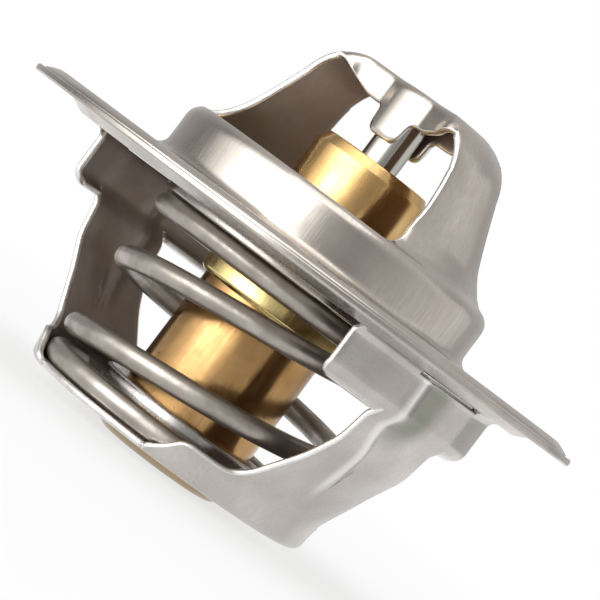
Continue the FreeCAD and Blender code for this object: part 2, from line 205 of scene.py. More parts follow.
class Profile:
    """Line that a turned sheet follows, read by the length along it. Sizes in mm."""

    SLOPE_REACH = 0.03
    SEARCH_STEPS = 4000
    MARK_GAP = 0.08
    END_GAP = 0.03
    SAMPLE_GAP = 0.02
    SAMPLE_TO_MARK = 0.1
    THINNEST_ROW = 0.015

    def __init__(self, corners: Sequence[Corner], step: float = 8.0) -> None:
        """Samples the line.

        Args:
            corners: (radius, height, bend radius) of each corner, in mm.
            step: largest angle between two samples of a bend, in degrees.
        """
        self.points = rounded_line(corners, step)
        gaps = np.hypot(*np.diff(self.points, axis=0).T)
        self.places = np.concatenate([[0.0], np.cumsum(gaps)])

    @property
    def length(self) -> float:
        """Whole length of the line, in mm."""
        return float(self.places[-1])

    def at(self, place: float) -> Spot:
        """Radius and height at a length along the line."""
        radius = float(np.interp(place, self.places, self.points[:, 0]))
        return radius, float(np.interp(place, self.places, self.points[:, 1]))

    def normal(self, place: float) -> Spot:
        """Unit normal on the right of the line, as radius and height.

        Args:
            place: length along the profile, in mm.

        Returns:
            Its part along the radius and its part along the height.
        """
        near, far = self.at(place - self.SLOPE_REACH), self.at(place + self.SLOPE_REACH)
        run, rise = far[0] - near[0], far[1] - near[1]
        size = math.hypot(run, rise)
        return rise / size, -run / size

    def place_where(self, axis: int, value: float, start: float = 0.0) -> float:
        """Length at which the radius (axis 0) or height (axis 1) first passes a value.

        Args:
            axis: 0 for the radius, 1 for the height.
            value: the value that is looked for, in mm.
            start: where the search begins.

        Returns:
            The length along the line.
        """
        places = np.linspace(start, self.length, self.SEARCH_STEPS)
        values = np.interp(places, self.places, self.points[:, axis]) - value
        crossing = np.nonzero(np.sign(values[:-1]) != np.sign(values[1:]))[0]
        spot = int(crossing[0])
        share = values[spot] / (values[spot] - values[spot + 1])
        return float(places[spot] + share * (places[spot + 1] - places[spot]))

    def at_heights(self, heights: Sequence[float], start: float) -> list[float]:
        """Lengths at which the line first passes each height, searched from a start."""
        return [self.place_where(1, height, start) for height in heights]

    def levels(self, start: float, end: float, gap: float, extra: Sequence[float] = ()) -> list[float]:
        """Lengths at which rows of a mesh are set.

        Args:
            start: first length.
            end: last length.
            gap: largest distance between two rows, in mm.
            extra: more lengths that get a row.

        Returns:
            The lengths in order.
        """
        marks = [start]
        for place in sorted(extra):
            if marks[-1] + self.MARK_GAP < place < end - self.END_GAP:
                marks.append(place)
        count = len(marks)
        least = self.SAMPLE_TO_MARK if extra else 0.0
        for place in self.places:
            inside = start + self.SAMPLE_GAP < place < end - self.SAMPLE_GAP
            if inside and min(abs(place - mark) for mark in marks[:count]) > least:
                marks.append(place)
        marks = sorted(marks) + [end]
        rows = [start]
        for low, high in zip(marks[:-1], marks[1:]):
            if high - low < self.THINNEST_ROW:
                continue
            pieces = max(1, math.ceil((high - low) / gap))
            rows += [low + (high - low) * piece / pieces for piece in range(1, pieces + 1)]
        return rows


def weave(mesh: Mesh, places: Sequence[Sequence[Place]]) -> None:
    """Adds a grid of four-sided faces to a mesh.

    Args:
        mesh: the mesh that is added to.
        places: rows of points of the same length, in mm.
    """
    grid = [[mesh.verts.new(place) for place in row] for row in places]
    for upper, lower in zip(grid[:-1], grid[1:]):
        for column in range(len(upper) - 1):
            mesh.faces.new((upper[column], upper[column + 1], lower[column + 1], lower[column]))


def weave_band(mesh: Mesh, line: Sequence[Spot], angles: Sequence[float]) -> None:
    """Adds a band that is turned round the Z axis.

    Args:
        mesh: the mesh that is added to.
        line: radius and height of each row, in mm.
        angles: angle of each column.
    """
    ways = [(math.cos(angle), math.sin(angle)) for angle in angles]
    weave(mesh, [[(radius * x, radius * y, height) for x, y in ways] for radius, height in line])


def tidy_sheet(mesh: Mesh, faces_up: bool) -> None:
    """Joins the patches of an open sheet and turns its faces outwards.

    Args:
        mesh: the sheet.
        faces_up: whether most of its outer side looks up.
    """
    bmesh.ops.remove_doubles(mesh, verts=mesh.verts, dist=SHEET_WELD)
    mesh.normal_update()
    lift = sum(face.normal.z * face.calc_area() for face in mesh.faces)
    if (lift > 0.0) != faces_up:
        bmesh.ops.reverse_faces(mesh, faces=mesh.faces)
    mesh.normal_update()


def thicken(
    mesh: Mesh,
    thickness: float,
    bulge: float,
    inner_place: Callable[[Vector, Vector], Vector],
    is_slot: Callable[[Vector], bool],
    is_dull_and_shaded: Callable[[Vector], bool],
    rim_rows: int = 5,
    slot_swell: float = 0.02,
) -> None:
    """Gives an open sheet its thickness and a rounded cut edge all round.

    Args:
        mesh: the outer side of the sheet.
        thickness: sheet thickness in mm.
        bulge: how far the cut edge swells out, in mm.
        inner_place: place of the inner side for a point and its plain inner place.
        is_slot: whether an edge point lies in a narrow slot, whose edges stay flat and dark.
        is_dull_and_shaded: whether the inner side behind a point is dull and gets a darker colour as painted
            shade.
        rim_rows: number of faces across the cut edge.
        slot_swell: how far the edge of a slot swells out, in mm.
    """
    for name in (CUT_EDGE, SHADED_INNER_SIDE):
        mesh.faces.layers.float.new(name)
    cut, inside = mesh.faces.layers.float[CUT_EDGE], mesh.faces.layers.float[SHADED_INNER_SIDE]
    faces = list(mesh.faces)
    points = list(mesh.verts)
    rim = [edge.link_loops[0] for edge in mesh.edges if edge.is_boundary]
    outward: dict[bmesh.types.BMVert, Vector] = {}
    runs = []
    for loop in rim:
        start, end = loop.vert, loop.link_loop_next.vert
        along = (end.co - start.co).normalized()
        out = along.cross(loop.face.normal)
        for vertex in (start, end):
            outward[vertex] = outward.get(vertex, Vector()) + out
        runs.append((start, end))
    places = {vertex: inner_place(vertex.co, vertex.co - vertex.normal * thickness) for vertex in points}
    twins = {vertex: mesh.verts.new(places[vertex]) for vertex in points}
    ribs = {}
    for vertex, out in outward.items():
        out = out.normalized()
        swell = slot_swell if is_slot(vertex.co) else bulge
        rib = [vertex]
        for step in range(1, rim_rows):
            angle = math.pi * step / rim_rows
            share = (1.0 - math.cos(angle)) / 2.0
            spot = vertex.co.lerp(places[vertex], share) + out * swell * math.sin(angle)
            rib.append(mesh.verts.new(spot))
        ribs[vertex] = rib + [twins[vertex]]
    for face in faces:
        twin = mesh.faces.new([twins[vertex] for vertex in reversed(face.verts)])
        # The inner side gets its darker colour as painted shade where is_dull_and_shaded holds.
        twin[inside] = 1.0 if is_dull_and_shaded(face.calc_center_median()) else 0.0
    for start, end in runs:
        for step in range(rim_rows):
            low, high = ribs[start], ribs[end]
            face = mesh.faces.new((high[step], low[step], low[step + 1], high[step + 1]))
            face[cut] = 0.0 if is_slot(start.co) else 1.0


def turned_mesh(
    corners: Sequence[Corner],
    segments: int = 192,
    film_and_shade_mark: Optional[Callable[[float, float], float]] = None,
) -> Mesh:
    """Closed outline turned round the Z axis.

    Args:
        corners: (radius, height, corner radius) of the outline, in mm.
        segments: number of steps round the axis.
        film_and_shade_mark: share of the piece's second colour at a radius and height, where it has one.

    Returns:
        The new mesh.
    """
    mesh = bmesh.new()
    outline = guarded_outline(corners)
    angles = [FULL_TURN * step / segments for step in range(segments + 1)]
    weave_band(mesh, np.vstack([outline, outline[:1]]), angles)
    bmesh.ops.remove_doubles(mesh, verts=mesh.verts, dist=FINE_WELD)
    bmesh.ops.recalc_face_normals(mesh, faces=mesh.faces)
    if film_and_shade_mark is not None:
        layer = mesh.verts.layers.float.new(FILM_AND_SHADE)
        for vertex in mesh.verts:
            vertex[layer] = film_and_shade_mark(vertex.co.xy.length, vertex.co.z)
    return mesh


class Body(Enum):
    """The two rigid bodies of the part."""

    FRAME = "frame"
    VALVE = "valve"


@dataclass(frozen=True)
class Tag:
    """What a piece is called and what it stands for."""

    name: str
    body: Body
    replaces: tuple[str, ...]
    slot: str


def link_mesh(mesh: Mesh, name: str, material: Material) -> Piece:
    """Turns a mesh into an object of the scene.

    Args:
        mesh: the mesh in metres, which is freed.
        name: name of the object.
        material: its finish.

    Returns:
        The new object.
    """
    data = bpy.data.meshes.new(name)
    mesh.to_mesh(data)
    mesh.free()
    data.materials.append(material)
    return link_object(name, data)


def link_object(name: str, data: bpy.types.ID) -> Piece:
    """Adds an object to the scene.

    Args:
        name: name of the object.
        data: the mesh, camera or lamp that it shows.

    Returns:
        The new object.
    """
    made = bpy.data.objects.new(name, data)
    bpy.context.scene.collection.objects.link(made)
    return made


def add_smooth(mesh: Mesh, name: str, material: Material) -> Piece:
    """Turns a mesh in mm into a smooth piece of the scene in metres.

    Args:
        mesh: the mesh, which is freed.
        name: name of the piece.
        material: its finish.

    Returns:
        The new object.
    """
    bmesh.ops.scale(mesh, vec=(MM, MM, MM), verts=mesh.verts)
    for face in mesh.faces:
        face.smooth = True
    return link_mesh(mesh, name, material)


def place_piece(mesh: Mesh, tag: Tag, material: Material) -> Piece:
    """Adds a rigid piece, which rides on its body and stands for its CAD node.

    Args:
        mesh: the mesh in mm.
        tag: name, body and replaced nodes; its material slot is not used.
        material: its finish.

    Returns:
        The new object.
    """
    piece = add_smooth(mesh, tag.name, material)
    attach(piece, tag.body.value)
    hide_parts(*tag.replaces)
    LOG.info("%s: %d faces", tag.name, len(piece.data.polygons))
    return piece


# ---------------------------------------------------------------- finishes


class Wiring:
    """Short way to add and join the nodes of a material or group."""

    def __init__(self, tree: bpy.types.NodeTree) -> None:
        """Keeps the tree that the nodes go into."""
        self.tree = tree

    def add(self, kind: str, settings: Optional[dict] = None, **inputs: object) -> bpy.types.Node:
        """Adds a node.

        Args:
            kind: node type, such as ShaderNodeMath.
            settings: its properties.
            inputs: value or socket of each input, named with _ for a blank, or i and a number.

        Returns:
            The node.
        """
        node = self.tree.nodes.new(kind)
        for name, value in (settings or {}).items():
            setattr(node, name, value)
        for name, value in inputs.items():
            is_number = name[0] == "i" and name[1:].isdigit()
            socket = node.inputs[int(name[1:])] if is_number else node.inputs[name.replace("_", " ")]
            if isinstance(value, bpy.types.NodeSocket):
                self.tree.links.new(value, socket)
            else:
                socket.default_value = value
        return node

    def math(self, operation: str, first: object, second: object) -> Socket:
        """Result of a Math node."""
        return self.add("ShaderNodeMath", {"operation": operation}, i0=first, i1=second).outputs[0]

    def times(self, first: object, second: object) -> Socket:
        """Product of two values."""
        return self.math("MULTIPLY", first, second)

    def total(self, first: object, *others: object) -> Socket:
        """Sum of two or more values.

        Args:
            first: socket or number.
            *others: more sockets or numbers.

        Returns:
            Socket with the sum.
        """
        for other in others:
            first = self.math("ADD", first, other)
        return first

    def noise(self, vector: Socket, scale: object, roughness: float, detail: float = 3.0) -> Socket:
        """Value of a Noise Texture."""
        inputs = {"Vector": vector, "Scale": scale, "Detail": detail, "Roughness": roughness}
        return self.add("ShaderNodeTexNoise", None, **inputs).outputs["Fac"]

    def spread(self, value: Socket, start: Spot, end: Spot = (0.0, 1.0)) -> Socket:
        """Value moved from one range to another and held inside it."""
        limits = {f"i{number}": limit for number, limit in enumerate((*start, *end), 1)}
        return self.add("ShaderNodeMapRange", {"clamp": True}, i0=value, **limits).outputs[0]

    def mix(self, share: object, first: object, second: object) -> Socket:
        """Mix of two colours."""
        node = self.add("ShaderNodeMix", {"data_type": "RGBA"}, i0=share, i6=first, i7=second)
        return node.outputs[2]

    def bump(self, height: Socket) -> Socket:
        """Normal of a surface with a relief in mm."""
        inputs = {"Strength": 1.0, "Distance": MM, "Height": height}
        return self.add("ShaderNodeBump", None, **inputs).outputs["Normal"]

    def dress(self, inputs: dict[str, Socket]) -> None:
        """Joins values to the inputs of the Principled shader."""
        for name, value in inputs.items():
            self.tree.links.new(value, self.tree.nodes["Principled BSDF"].inputs[name])

    def show(self, shader: Socket) -> None:
        """Makes a shader the surface, in the place of the Principled one.

        Args:
            shader: socket that puts out the shader.
        """
        nodes = self.tree.nodes
        nodes.remove(nodes["Principled BSDF"])
        self.tree.links.new(shader, nodes["Material Output"].inputs["Surface"])

    def stretched(self, vector: Socket, scale: Sequence[float]) -> Socket:
        """Vector multiplied along each axis."""
        node = self.add("ShaderNodeVectorMath", {"operation": "MULTIPLY"}, i0=vector, i1=tuple(scale))
        return node.outputs[0]


def new_material(name: str) -> tuple[Material, Wiring, Socket]:
    """Makes a material with its Principled shader.

    Args:
        name: name of the material.

    Returns:
        The material, its wiring and the place on the object that its textures read.
    """
    material = bpy.data.materials.new(name)
    material.use_nodes = True
    wiring = Wiring(material.node_tree)
    return material, wiring, wiring.add("ShaderNodeTexCoord").outputs["Object"]


def new_group(name: str, inputs: dict[str, object], outputs: Sequence[str]) -> tuple:
    """Makes an empty shader node group with its sockets.

    Args:
        name: name of the group.
        inputs: default of each input by its name, a number or a vector.
        outputs: name of each output, all numbers.

    Returns:
        The group, its wiring, its input node and its output node.
    """
    tree = bpy.data.node_groups.new(name, "ShaderNodeTree")
    for label, default in inputs.items():
        kind = "NodeSocketFloat" if isinstance(default, float) else "NodeSocketVector"
        tree.interface.new_socket(label, in_out="INPUT", socket_type=kind).default_value = default
    for label in outputs:
        tree.interface.new_socket(label, in_out="OUTPUT", socket_type="NodeSocketFloat")
    wiring = Wiring(tree)
    return tree, wiring, wiring.add("NodeGroupInput"), wiring.add("NodeGroupOutput")


def surface_grain_group() -> bpy.types.NodeTree:
    """Rolled and handled metal surface: fine grain, slow clouds and small specks.

    Returns:
        A group with the inputs Vector, Stretched, Grain Scale, Cloud Scale, Speck Scale and Speck Size
        and the outputs Grain, Cloud and Speck.
    """
    origin = (0.0, 0.0, 0.0)
    sizes = {"Grain Scale": 4000.0, "Cloud Scale": 180.0, "Speck Scale": 900.0, "Speck Size": 0.1}
    inputs = {"Vector": origin, "Stretched": origin, **sizes}
    tree, wiring, given, result = new_group("surface_grain", inputs, ("Grain", "Cloud", "Speck"))
    place, speck_scale = given.outputs["Vector"], given.outputs["Speck Scale"]
    fine = wiring.noise(given.outputs["Stretched"], given.outputs["Grain Scale"], 0.6)
    slow = wiring.noise(place, given.outputs["Cloud Scale"], 0.5)
    cells = wiring.add("ShaderNodeTexVoronoi", {"feature": "F1"}, Vector=place, Scale=speck_scale)
    rare = wiring.spread(wiring.noise(place, 260.0, 0.5, 1.0), (0.52, 0.68))
    reach = wiring.times(given.outputs["Speck Size"], rare)
    speck = wiring.math("LESS_THAN", cells.outputs["Distance"], reach)
    cloud = wiring.spread(slow, (0.32, 0.68))
    for label, value in (("Grain", fine), ("Cloud", cloud), ("Speck", speck)):
        tree.links.new(value, result.inputs[label])
    return tree


def sheet_sides_group() -> bpy.types.NodeTree:
    """Masks of a metal piece: worn cut edges, painted highlight on ribs and rolled tab feet, painted shade
    on the duller inner side, and films with painted shade in the cage's panels.

    Returns:
        A group with the input Vector and the outputs Edge, Rib, ShadedInner and FilmAndShade.
    """
    names = {"Edge": CUT_EDGE, "Rib": PAINTED_HIGHLIGHT, "ShadedInner": SHADED_INNER_SIDE, "FilmAndShade": FILM_AND_SHADE}
    tree, wiring, given, result = new_group("sheet_sides", {"Vector": (0.0, 0.0, 0.0)}, tuple(names))
    broken = wiring.spread(wiring.noise(given.outputs["Vector"], 900.0, 0.55), (0.3, 0.6), (0.55, 1.0))
    slow = wiring.spread(wiring.noise(given.outputs["Vector"], 220.0, 0.55), (0.3, 0.7), (0.8, 1.0))
    for label, name in names.items():
        mark = wiring.add("ShaderNodeAttribute", {"attribute_name": name}).outputs["Fac"]
        tree.links.new(wiring.times(mark, broken if label == "Edge" else slow), result.inputs[label])
    return tree


class Lay(Enum):
    """Direction that the fine grain of a metal runs in."""

    EVEN = (1.0, 1.0, 1.0)
    UPRIGHT = (1.0, 1.0, 0.12)
    TURNED = (0.02, 0.02, 1.0)


@dataclass(frozen=True)
class MetalFinish:
    """Colours, gloss and surface detail of one metal."""

    name: str
    light: Colour
    dark: Colour
    # Worn cut edges; the same colour is a painted highlight on the ribs and rolled tab feet.
    edge: Colour
    gloss: Spot
    # Darker colour painted on the inner side of a sheet as shade.
    inner: Colour = (0.27, 0.215, 0.175)
    inner_rough: float = 0.3
    inner_metal: float = 0.6
    edge_rough: float = 0.15
    # Second colour; the default dark green-grey is painted shade in the cage's panels.
    film_and_shade_colour: Colour = (0.2, 0.215, 0.165)
    streaks: float = 0.25
    lay: Lay = Lay.EVEN
    grain_scale: float = 3500.0
    grain_depth: float = 0.004
    cloud_scale: float = 170.0
    cloud_depth: float = 0.02
    speck_size: float = 0.0
    speck_dark: float = 0.35
    speck_colour: Colour = (0.03, 0.02, 0.01)
    speck_rough: float = 0.3
    speck_depth: float = 0.02
    grain_rough: float = 0.05

    def colour(self, wiring: Wiring, surface: bpy.types.Node, masks: bpy.types.Node) -> Socket:
        """Colour of the metal with its clouds, streaks, specks, films, painted shade on the dull side and in
        the panels, worn edges and painted highlight on ribs and tab feet.

        Args:
            wiring: wiring of the material.
            surface: node of the surface_grain group.
            masks: node of the sheet_sides group.

        Returns:
            The colour.
        """
        streaks = wiring.spread(surface.outputs["Grain"], (0.35, 0.65), (0.0, self.streaks))
        layers = (
            (surface.outputs["Cloud"], self.light),
            (streaks, self.dark),
            (wiring.times(surface.outputs["Speck"], 1.0 - self.speck_dark), self.speck_colour),
            # Film colour, which in the cage's panels is painted shade.
            (masks.outputs["FilmAndShade"], self.film_and_shade_colour),
            # Painted shade on the inner side.
            (masks.outputs["ShadedInner"], self.inner),
            # Worn cut edges, and a painted highlight on ribs and rolled tab feet.
            (wiring.math("MAXIMUM", masks.outputs["Edge"], masks.outputs["Rib"]), self.edge),
        )
        shown: object = (*self.dark, 1.0)
        for share, layer in layers:
            shown = wiring.mix(share, shown, (*layer, 1.0))
        return shown

    def roughness(self, wiring: Wiring, surface: bpy.types.Node, masks: bpy.types.Node) -> Socket:
        """Roughness of the metal, higher on the dull side, the cut edges and the specks.

        Args:
            wiring: wiring of the material.
            surface: node of the surface_grain group.
            masks: node of the sheet_sides group.

        Returns:
            The roughness.
        """
        low, high = self.gloss
        return wiring.total(
            wiring.spread(surface.outputs["Cloud"], (0.0, 1.0), (high, low)),
            wiring.times(masks.outputs["ShadedInner"], self.inner_rough),
            wiring.times(masks.outputs["Edge"], self.edge_rough),
            wiring.spread(surface.outputs["Grain"], GRAIN_RANGE, (-self.grain_rough, self.grain_rough)),
            wiring.times(surface.outputs["Speck"], self.speck_rough),
        )

    def build(self, grain: bpy.types.NodeTree, sides: bpy.types.NodeTree) -> Material:
        """Makes the material.

        Args:
            grain: the surface_grain group.
            sides: the sheet_sides group.

        Returns:
            The material.
        """
        material, wiring, place = new_material(self.name)
        surface = wiring.add(
            "ShaderNodeGroup",
            {"node_tree": grain},
            Vector=place,
            Stretched=wiring.stretched(place, self.lay.value),
            Grain_Scale=self.grain_scale,
            Cloud_Scale=self.cloud_scale,
            Speck_Size=self.speck_size,
        )
        masks = wiring.add("ShaderNodeGroup", {"node_tree": sides}, Vector=place)
        ridges = wiring.times(surface.outputs["Grain"], self.grain_depth)
        waves = wiring.times(surface.outputs["Cloud"], self.cloud_depth)
        pits = wiring.times(surface.outputs["Speck"], self.speck_depth)
        inputs = {
            "Base Color": self.colour(wiring, surface, masks),
            "Roughness": self.roughness(wiring, surface, masks),
            "Normal": wiring.bump(wiring.math("SUBTRACT", wiring.total(ridges, waves), pits)),
            "Metallic": wiring.spread(masks.outputs["ShadedInner"], (0.0, 1.0), (1.0, self.inner_metal)),
        }
        wiring.dress(inputs)
        return material


@dataclass(frozen=True)
class SoftFinish:
    """Colour and surface detail of a wax, rubber or polymer piece."""

    name: str
    light: Colour
    dark: Colour
    roughness: float
    rough_spread: float = 0.06
    cloud_scale: float = 400.0
    depth: float = 0.01

    def build(self, grain: bpy.types.NodeTree) -> Material:
        """Makes the material.

        Args:
            grain: the surface_grain group.

        Returns:
            The material.
        """
        material, wiring, place = new_material(self.name)
        sockets = {"Vector": place, "Stretched": place, "Cloud_Scale": self.cloud_scale}
        surface = wiring.add("ShaderNodeGroup", {"node_tree": grain}, **sockets)
        limits = (self.roughness - self.rough_spread, self.roughness + self.rough_spread)
        inputs = {
            "Base Color": wiring.mix(surface.outputs["Cloud"], (*self.dark, 1.0), (*self.light, 1.0)),
            "Roughness": wiring.spread(surface.outputs["Grain"], GRAIN_RANGE, limits),
            "Normal": wiring.bump(wiring.times(surface.outputs["Grain"], self.depth)),
        }
        wiring.dress(inputs)
        return material


METALS = {
    "bridge": MetalFinish(
        "satin_stainless_bridge",
        light=(0.63, 0.575, 0.52),
        dark=(0.49, 0.44, 0.39),
        edge=(0.82, 0.8, 0.77),
        gloss=(0.17, 0.27),
        # Painted shade on the bridge's inner side.
        inner=(0.34, 0.25, 0.19),
        lay=Lay.UPRIGHT,
        grain_depth=0.006,
        streaks=0.5,
    ),
    "cage": MetalFinish(
        "satin_stainless_cage",
        light=(0.62, 0.59, 0.56),
        dark=(0.48, 0.45, 0.42),
        edge=(0.84, 0.82, 0.8),
        gloss=(0.2, 0.3),
        grain_scale=2600.0,
        grain_depth=0.006,
    ),
    "seat": MetalFinish(
        "turned_steel_seat",
        light=(0.59, 0.545, 0.5),
        dark=(0.46, 0.42, 0.38),
        edge=(0.75, 0.74, 0.72),
        gloss=(0.2, 0.3),
    ),
    "piston": MetalFinish(
        "ground_piston_steel",
        light=(0.6, 0.585, 0.55),
        dark=(0.5, 0.48, 0.44),
        edge=(0.8, 0.8, 0.8),
        gloss=(0.12, 0.2),
        lay=Lay.TURNED,
        grain_depth=0.002,
    ),
    "wire": MetalFinish(
        "drawn_spring_wire",
        light=(0.51, 0.47, 0.42),
        dark=(0.35, 0.315, 0.28),
        edge=(0.6, 0.58, 0.55),
        gloss=(0.34, 0.46),
        grain_scale=3000.0,
        grain_depth=0.008,
        cloud_scale=420.0,
    ),
    "brass": MetalFinish(
        "turned_guide_brass",
        light=(0.87, 0.6, 0.29),
        dark=(0.62, 0.38, 0.14),
        edge=(0.9, 0.72, 0.4),
        film_and_shade_colour=(0.92, 0.75, 0.33),
        gloss=(0.18, 0.27),
        lay=Lay.UPRIGHT,
        streaks=0.4,
    ),
    "cup": MetalFinish(
        "drawn_copper_cup",
        light=(0.61, 0.37, 0.16),
        dark=(0.36, 0.2, 0.07),
        edge=(0.8, 0.56, 0.34),
        film_and_shade_colour=(0.44, 0.36, 0.25),
        gloss=(0.15, 0.25),
        lay=Lay.UPRIGHT,
        grain_depth=0.003,
        speck_size=0.16,
    ),
}
SOFTS = {
    "wax": SoftFinish("copper_filled_wax", (0.72, 0.5, 0.34), (0.55, 0.36, 0.22), 0.6),
    "rubber": SoftFinish("black_rubber_mould", (0.05, 0.05, 0.05), (0.025, 0.025, 0.025), 0.65),
    "polymer": SoftFinish("white_slip_polymer", (0.88, 0.87, 0.84), (0.8, 0.79, 0.75), 0.45),
}


def build_finishes() -> dict[str, Material]:
    """Builds the shared groups and every material, each once.

    Returns:
        The materials by their short names.
    """
    grain, sides = surface_grain_group(), sheet_sides_group()
    made = {name: finish.build(grain, sides) for name, finish in METALS.items()}
    return {**made, **{name: finish.build(grain) for name, finish in SOFTS.items()}}


# ---------------------------------------------------------------- pressed bridge


@dataclass
class Bridge:
    """Upper flange layer, collar, two arms and channel strap, pressed from one sheet. Sizes in mm."""

    sheet: float = 0.6
    flange_radius: float = 26.4
    flange_top: float = 1.2
    bevel_width: float = 1.2
    bevel_drop: float = 0.45
    collar_radius: float = 15.0
    shoulder_height: float = 5.3
    shoulder_inset: float = 1.7
    shoulder_rise: float = 0.95
    arm_inset: float = 2.9
    arm_rise: float = 2.7
    sill_height: float = 5.75
    sill_search: float = 10.0
    top_height: float = 17.3
    crown_radius: float = 8.6
    arm_foot_half_width: float = 6.6
    arm_knee_half_width: float = 4.6
    arm_knee_rise: float = 3.65
    arm_half_width: float = 3.65
    arm_neck_rise: float = 7.5
    strap_start: float = 7.2
    strap_zone: float = 4.0
    waist_place: float = 2.4
    waist_half_width: float = 1.95
    crown_half_width: float = 2.75
    bend_radius: float = 0.9
    wall_end_place: float = 9.6
    wall_end_height: float = 16.4
    wall_start_height: float = 16.05
    wall_bottom: float = 14.7
    wall_full_place: float = 3.5
    wall_zone_bottom: float = 15.0
    wall_least_rise: float = 0.05
    wall_passes: int = 12
    tongue_bottom: float = 12.45
    tongue_half_width: float = 1.8
    tongue_end_half_width: float = 1.5
    tongue_round: float = 1.4
    crease_rise: float = 0.22
    crease_width: float = 0.16
    crease_depth: float = 0.13
    crease_reach: float = 4.5
    crease_margin: float = 0.3
    crease_row_gap: float = 0.1
    round_start: float = 4.8
    round_width: float = 1.8
    edge_bulge: float = 0.16
    edge_gap: float = 0.02
    flat_margin: float = 2.0
    collar_row_gap: float = 0.8
    arm_row_gap: float = 0.4
    side_marks_top: float = 16.0
    strap_marks_end: float = 5.0
    crease_rows: int = 5
    arm_columns: int = 18
    arc_columns: int = 7
    wall_columns: int = 7
    rest_columns: int = 60

    def __post_init__(self) -> None:
        """Samples the lines that the sheet follows."""
        collar = self.collar_radius
        self.profile = Profile(
            [
                (self.flange_radius, self.flange_top - self.sheet + self.edge_gap, 0.0),
                (self.flange_radius, self.flange_top - self.bevel_drop, 0.1),
                (self.flange_radius - self.bevel_width, self.flange_top, self.bevel_width),
                (collar, self.flange_top, 1.0),
                (collar, self.shoulder_height, 1.5),
                (collar - self.shoulder_inset, self.shoulder_height + self.shoulder_rise, 2.0),
                (collar - self.arm_inset, self.shoulder_height + self.arm_rise, 5.0),
                (self.crown_radius, self.top_height, 5.0),
                (0.0, self.top_height, 0.0),
            ],
            step=7.0,
        )
        self.sill_place = self.profile.place_where(1, self.sill_height, self.sill_search)
        self.side_line = rounded_line(
            [
                (collar, self.sill_height, 0.0),
                (self.arm_foot_half_width, self.sill_height, 3.0),
                (self.arm_knee_half_width, self.sill_height + self.arm_knee_rise, 11.0),
                (self.arm_half_width, self.sill_height + self.arm_neck_rise, 11.0),
                (self.arm_half_width, self.top_height, 0.0),
            ],
            step=6.0,
        )[1:]
        self.plan_line = rounded_line(
            [
                (self.flange_radius, self.arm_half_width, 0.0),
                (self.strap_start, self.arm_half_width, 1.5),
                (self.waist_place, self.waist_half_width, 1.0),
                (0.0, self.crown_half_width, 4.0),
                (-self.waist_place, self.waist_half_width, 1.0),
            ],
            step=9.0,
        )
        straight = rounded_line(
            [
                (self.wall_end_place, self.wall_end_height, 0.0),
                (self.strap_start, self.wall_start_height, 0.8),
                (self.wall_full_place, self.wall_bottom, 2.0),
                (self.tongue_half_width, self.wall_bottom, 0.7),
                (self.tongue_end_half_width, self.tongue_bottom, self.tongue_round),
                (0.0, self.tongue_bottom, 0.0),
            ],
            step=9.0,
        )
        falling = np.minimum.accumulate(straight[:, 0] - FINE_WELD * np.arange(len(straight)))
        self.wall_line = np.column_stack([falling, straight[:, 1]])

    def half_width(self, place: float) -> float:
        """Half the width of the sheet at a length along the profile, seen from above.

        Args:
            place: length along the profile, in mm.

        Returns:
            Half the width, in mm.
        """
        radius, height = self.profile.at(place)
        on_arm = float(np.interp(height, self.side_line[:, 1], self.side_line[:, 0]))
        on_strap = float(np.interp(radius, self.plan_line[::-1, 0], self.plan_line[::-1, 1]))
        return min(on_arm, on_strap) if height > self.top_height - self.strap_zone else on_arm

    def wall_depth(self, place: float) -> float:
        """How far the side wall hangs down from the outer surface, square to it.

        Args:
            place: length along the profile, in mm.

        Returns:
            The depth in mm, 0.0 where there is no side wall.
        """
        radius, height = self.profile.at(place)
        lean, rise = self.profile.normal(place)
        if height < self.wall_zone_bottom or rise < self.wall_least_rise:
            return 0.0
        depth = 0.0
        places, bottoms = self.wall_line[::-1].T
        for _ in range(self.wall_passes):
            bottom = float(np.interp(radius - lean * depth, places, bottoms))
            depth = max(0.0, (height - bottom) / rise)
        return depth

    def row_points(self, place: float) -> list[Place]:
        """Points across the sheet at one length along the profile, from -Y to +Y.

        Args:
            place: length along the profile, in mm.

        Returns:
            The points, in mm.
        """
        radius, height = self.profile.at(place)
        lean, rise = self.profile.normal(place)
        depth = self.wall_depth(place)
        bend = self.bend_radius
        turn = math.acos(max(0.0, 1.0 - depth / bend)) if depth < bend else math.pi / 2.0
        flat = self.half_width(place) - bend * math.sin(turn)
        roundness = clamp((radius - self.round_start) / self.round_width)
        above_crease = (height - self.sill_height - self.crease_rise) / self.crease_width
        crease = self.crease_depth * math.exp(-(above_crease**2))

        def across(width: float) -> float:
            """Place along X at a distance from the middle of the strap.

            Args:
                width: distance from the middle, in mm.

            Returns:
                The place, in mm.
            """
            if roundness == 0.0:
                return radius
            dent = crease * between(width, flat - self.crease_reach, flat - self.crease_margin)
            return radius - dent - roundness * (radius - math.sqrt(radius * radius - width * width))

        def hanging(reach: float, drop: float) -> Place:
            """Point of the bend or wall, outwards and down from the edge of the flat part."""
            return edge_x - lean * drop, flat + reach, height - rise * drop

        edge_x = across(flat)
        side = []
        for column in range(1, self.arc_columns + 1):
            angle = turn * column / self.arc_columns
            side.append(hanging(bend * math.sin(angle), bend * (1.0 - math.cos(angle))))
        arc_drop = bend * (1.0 - math.cos(turn))
        for column in range(1, self.wall_columns + 1):
            drop = arc_drop + (max(depth, arc_drop) - arc_drop) * column / self.wall_columns
            side.append(hanging(bend * math.sin(turn), drop))
        widths = [flat * share for share in self.arm_shares()]
        middle = [(across(abs(width)), width, height) for width in widths]
        return [(x, -y, z) for x, y, z in reversed(side)] + middle + side

    def arm_shares(self) -> list[float]:
        """Columns across an arm, from -1 at one edge to 1 at the other."""
        return [2.0 * column / self.arm_columns - 1.0 for column in range(self.arm_columns + 1)]

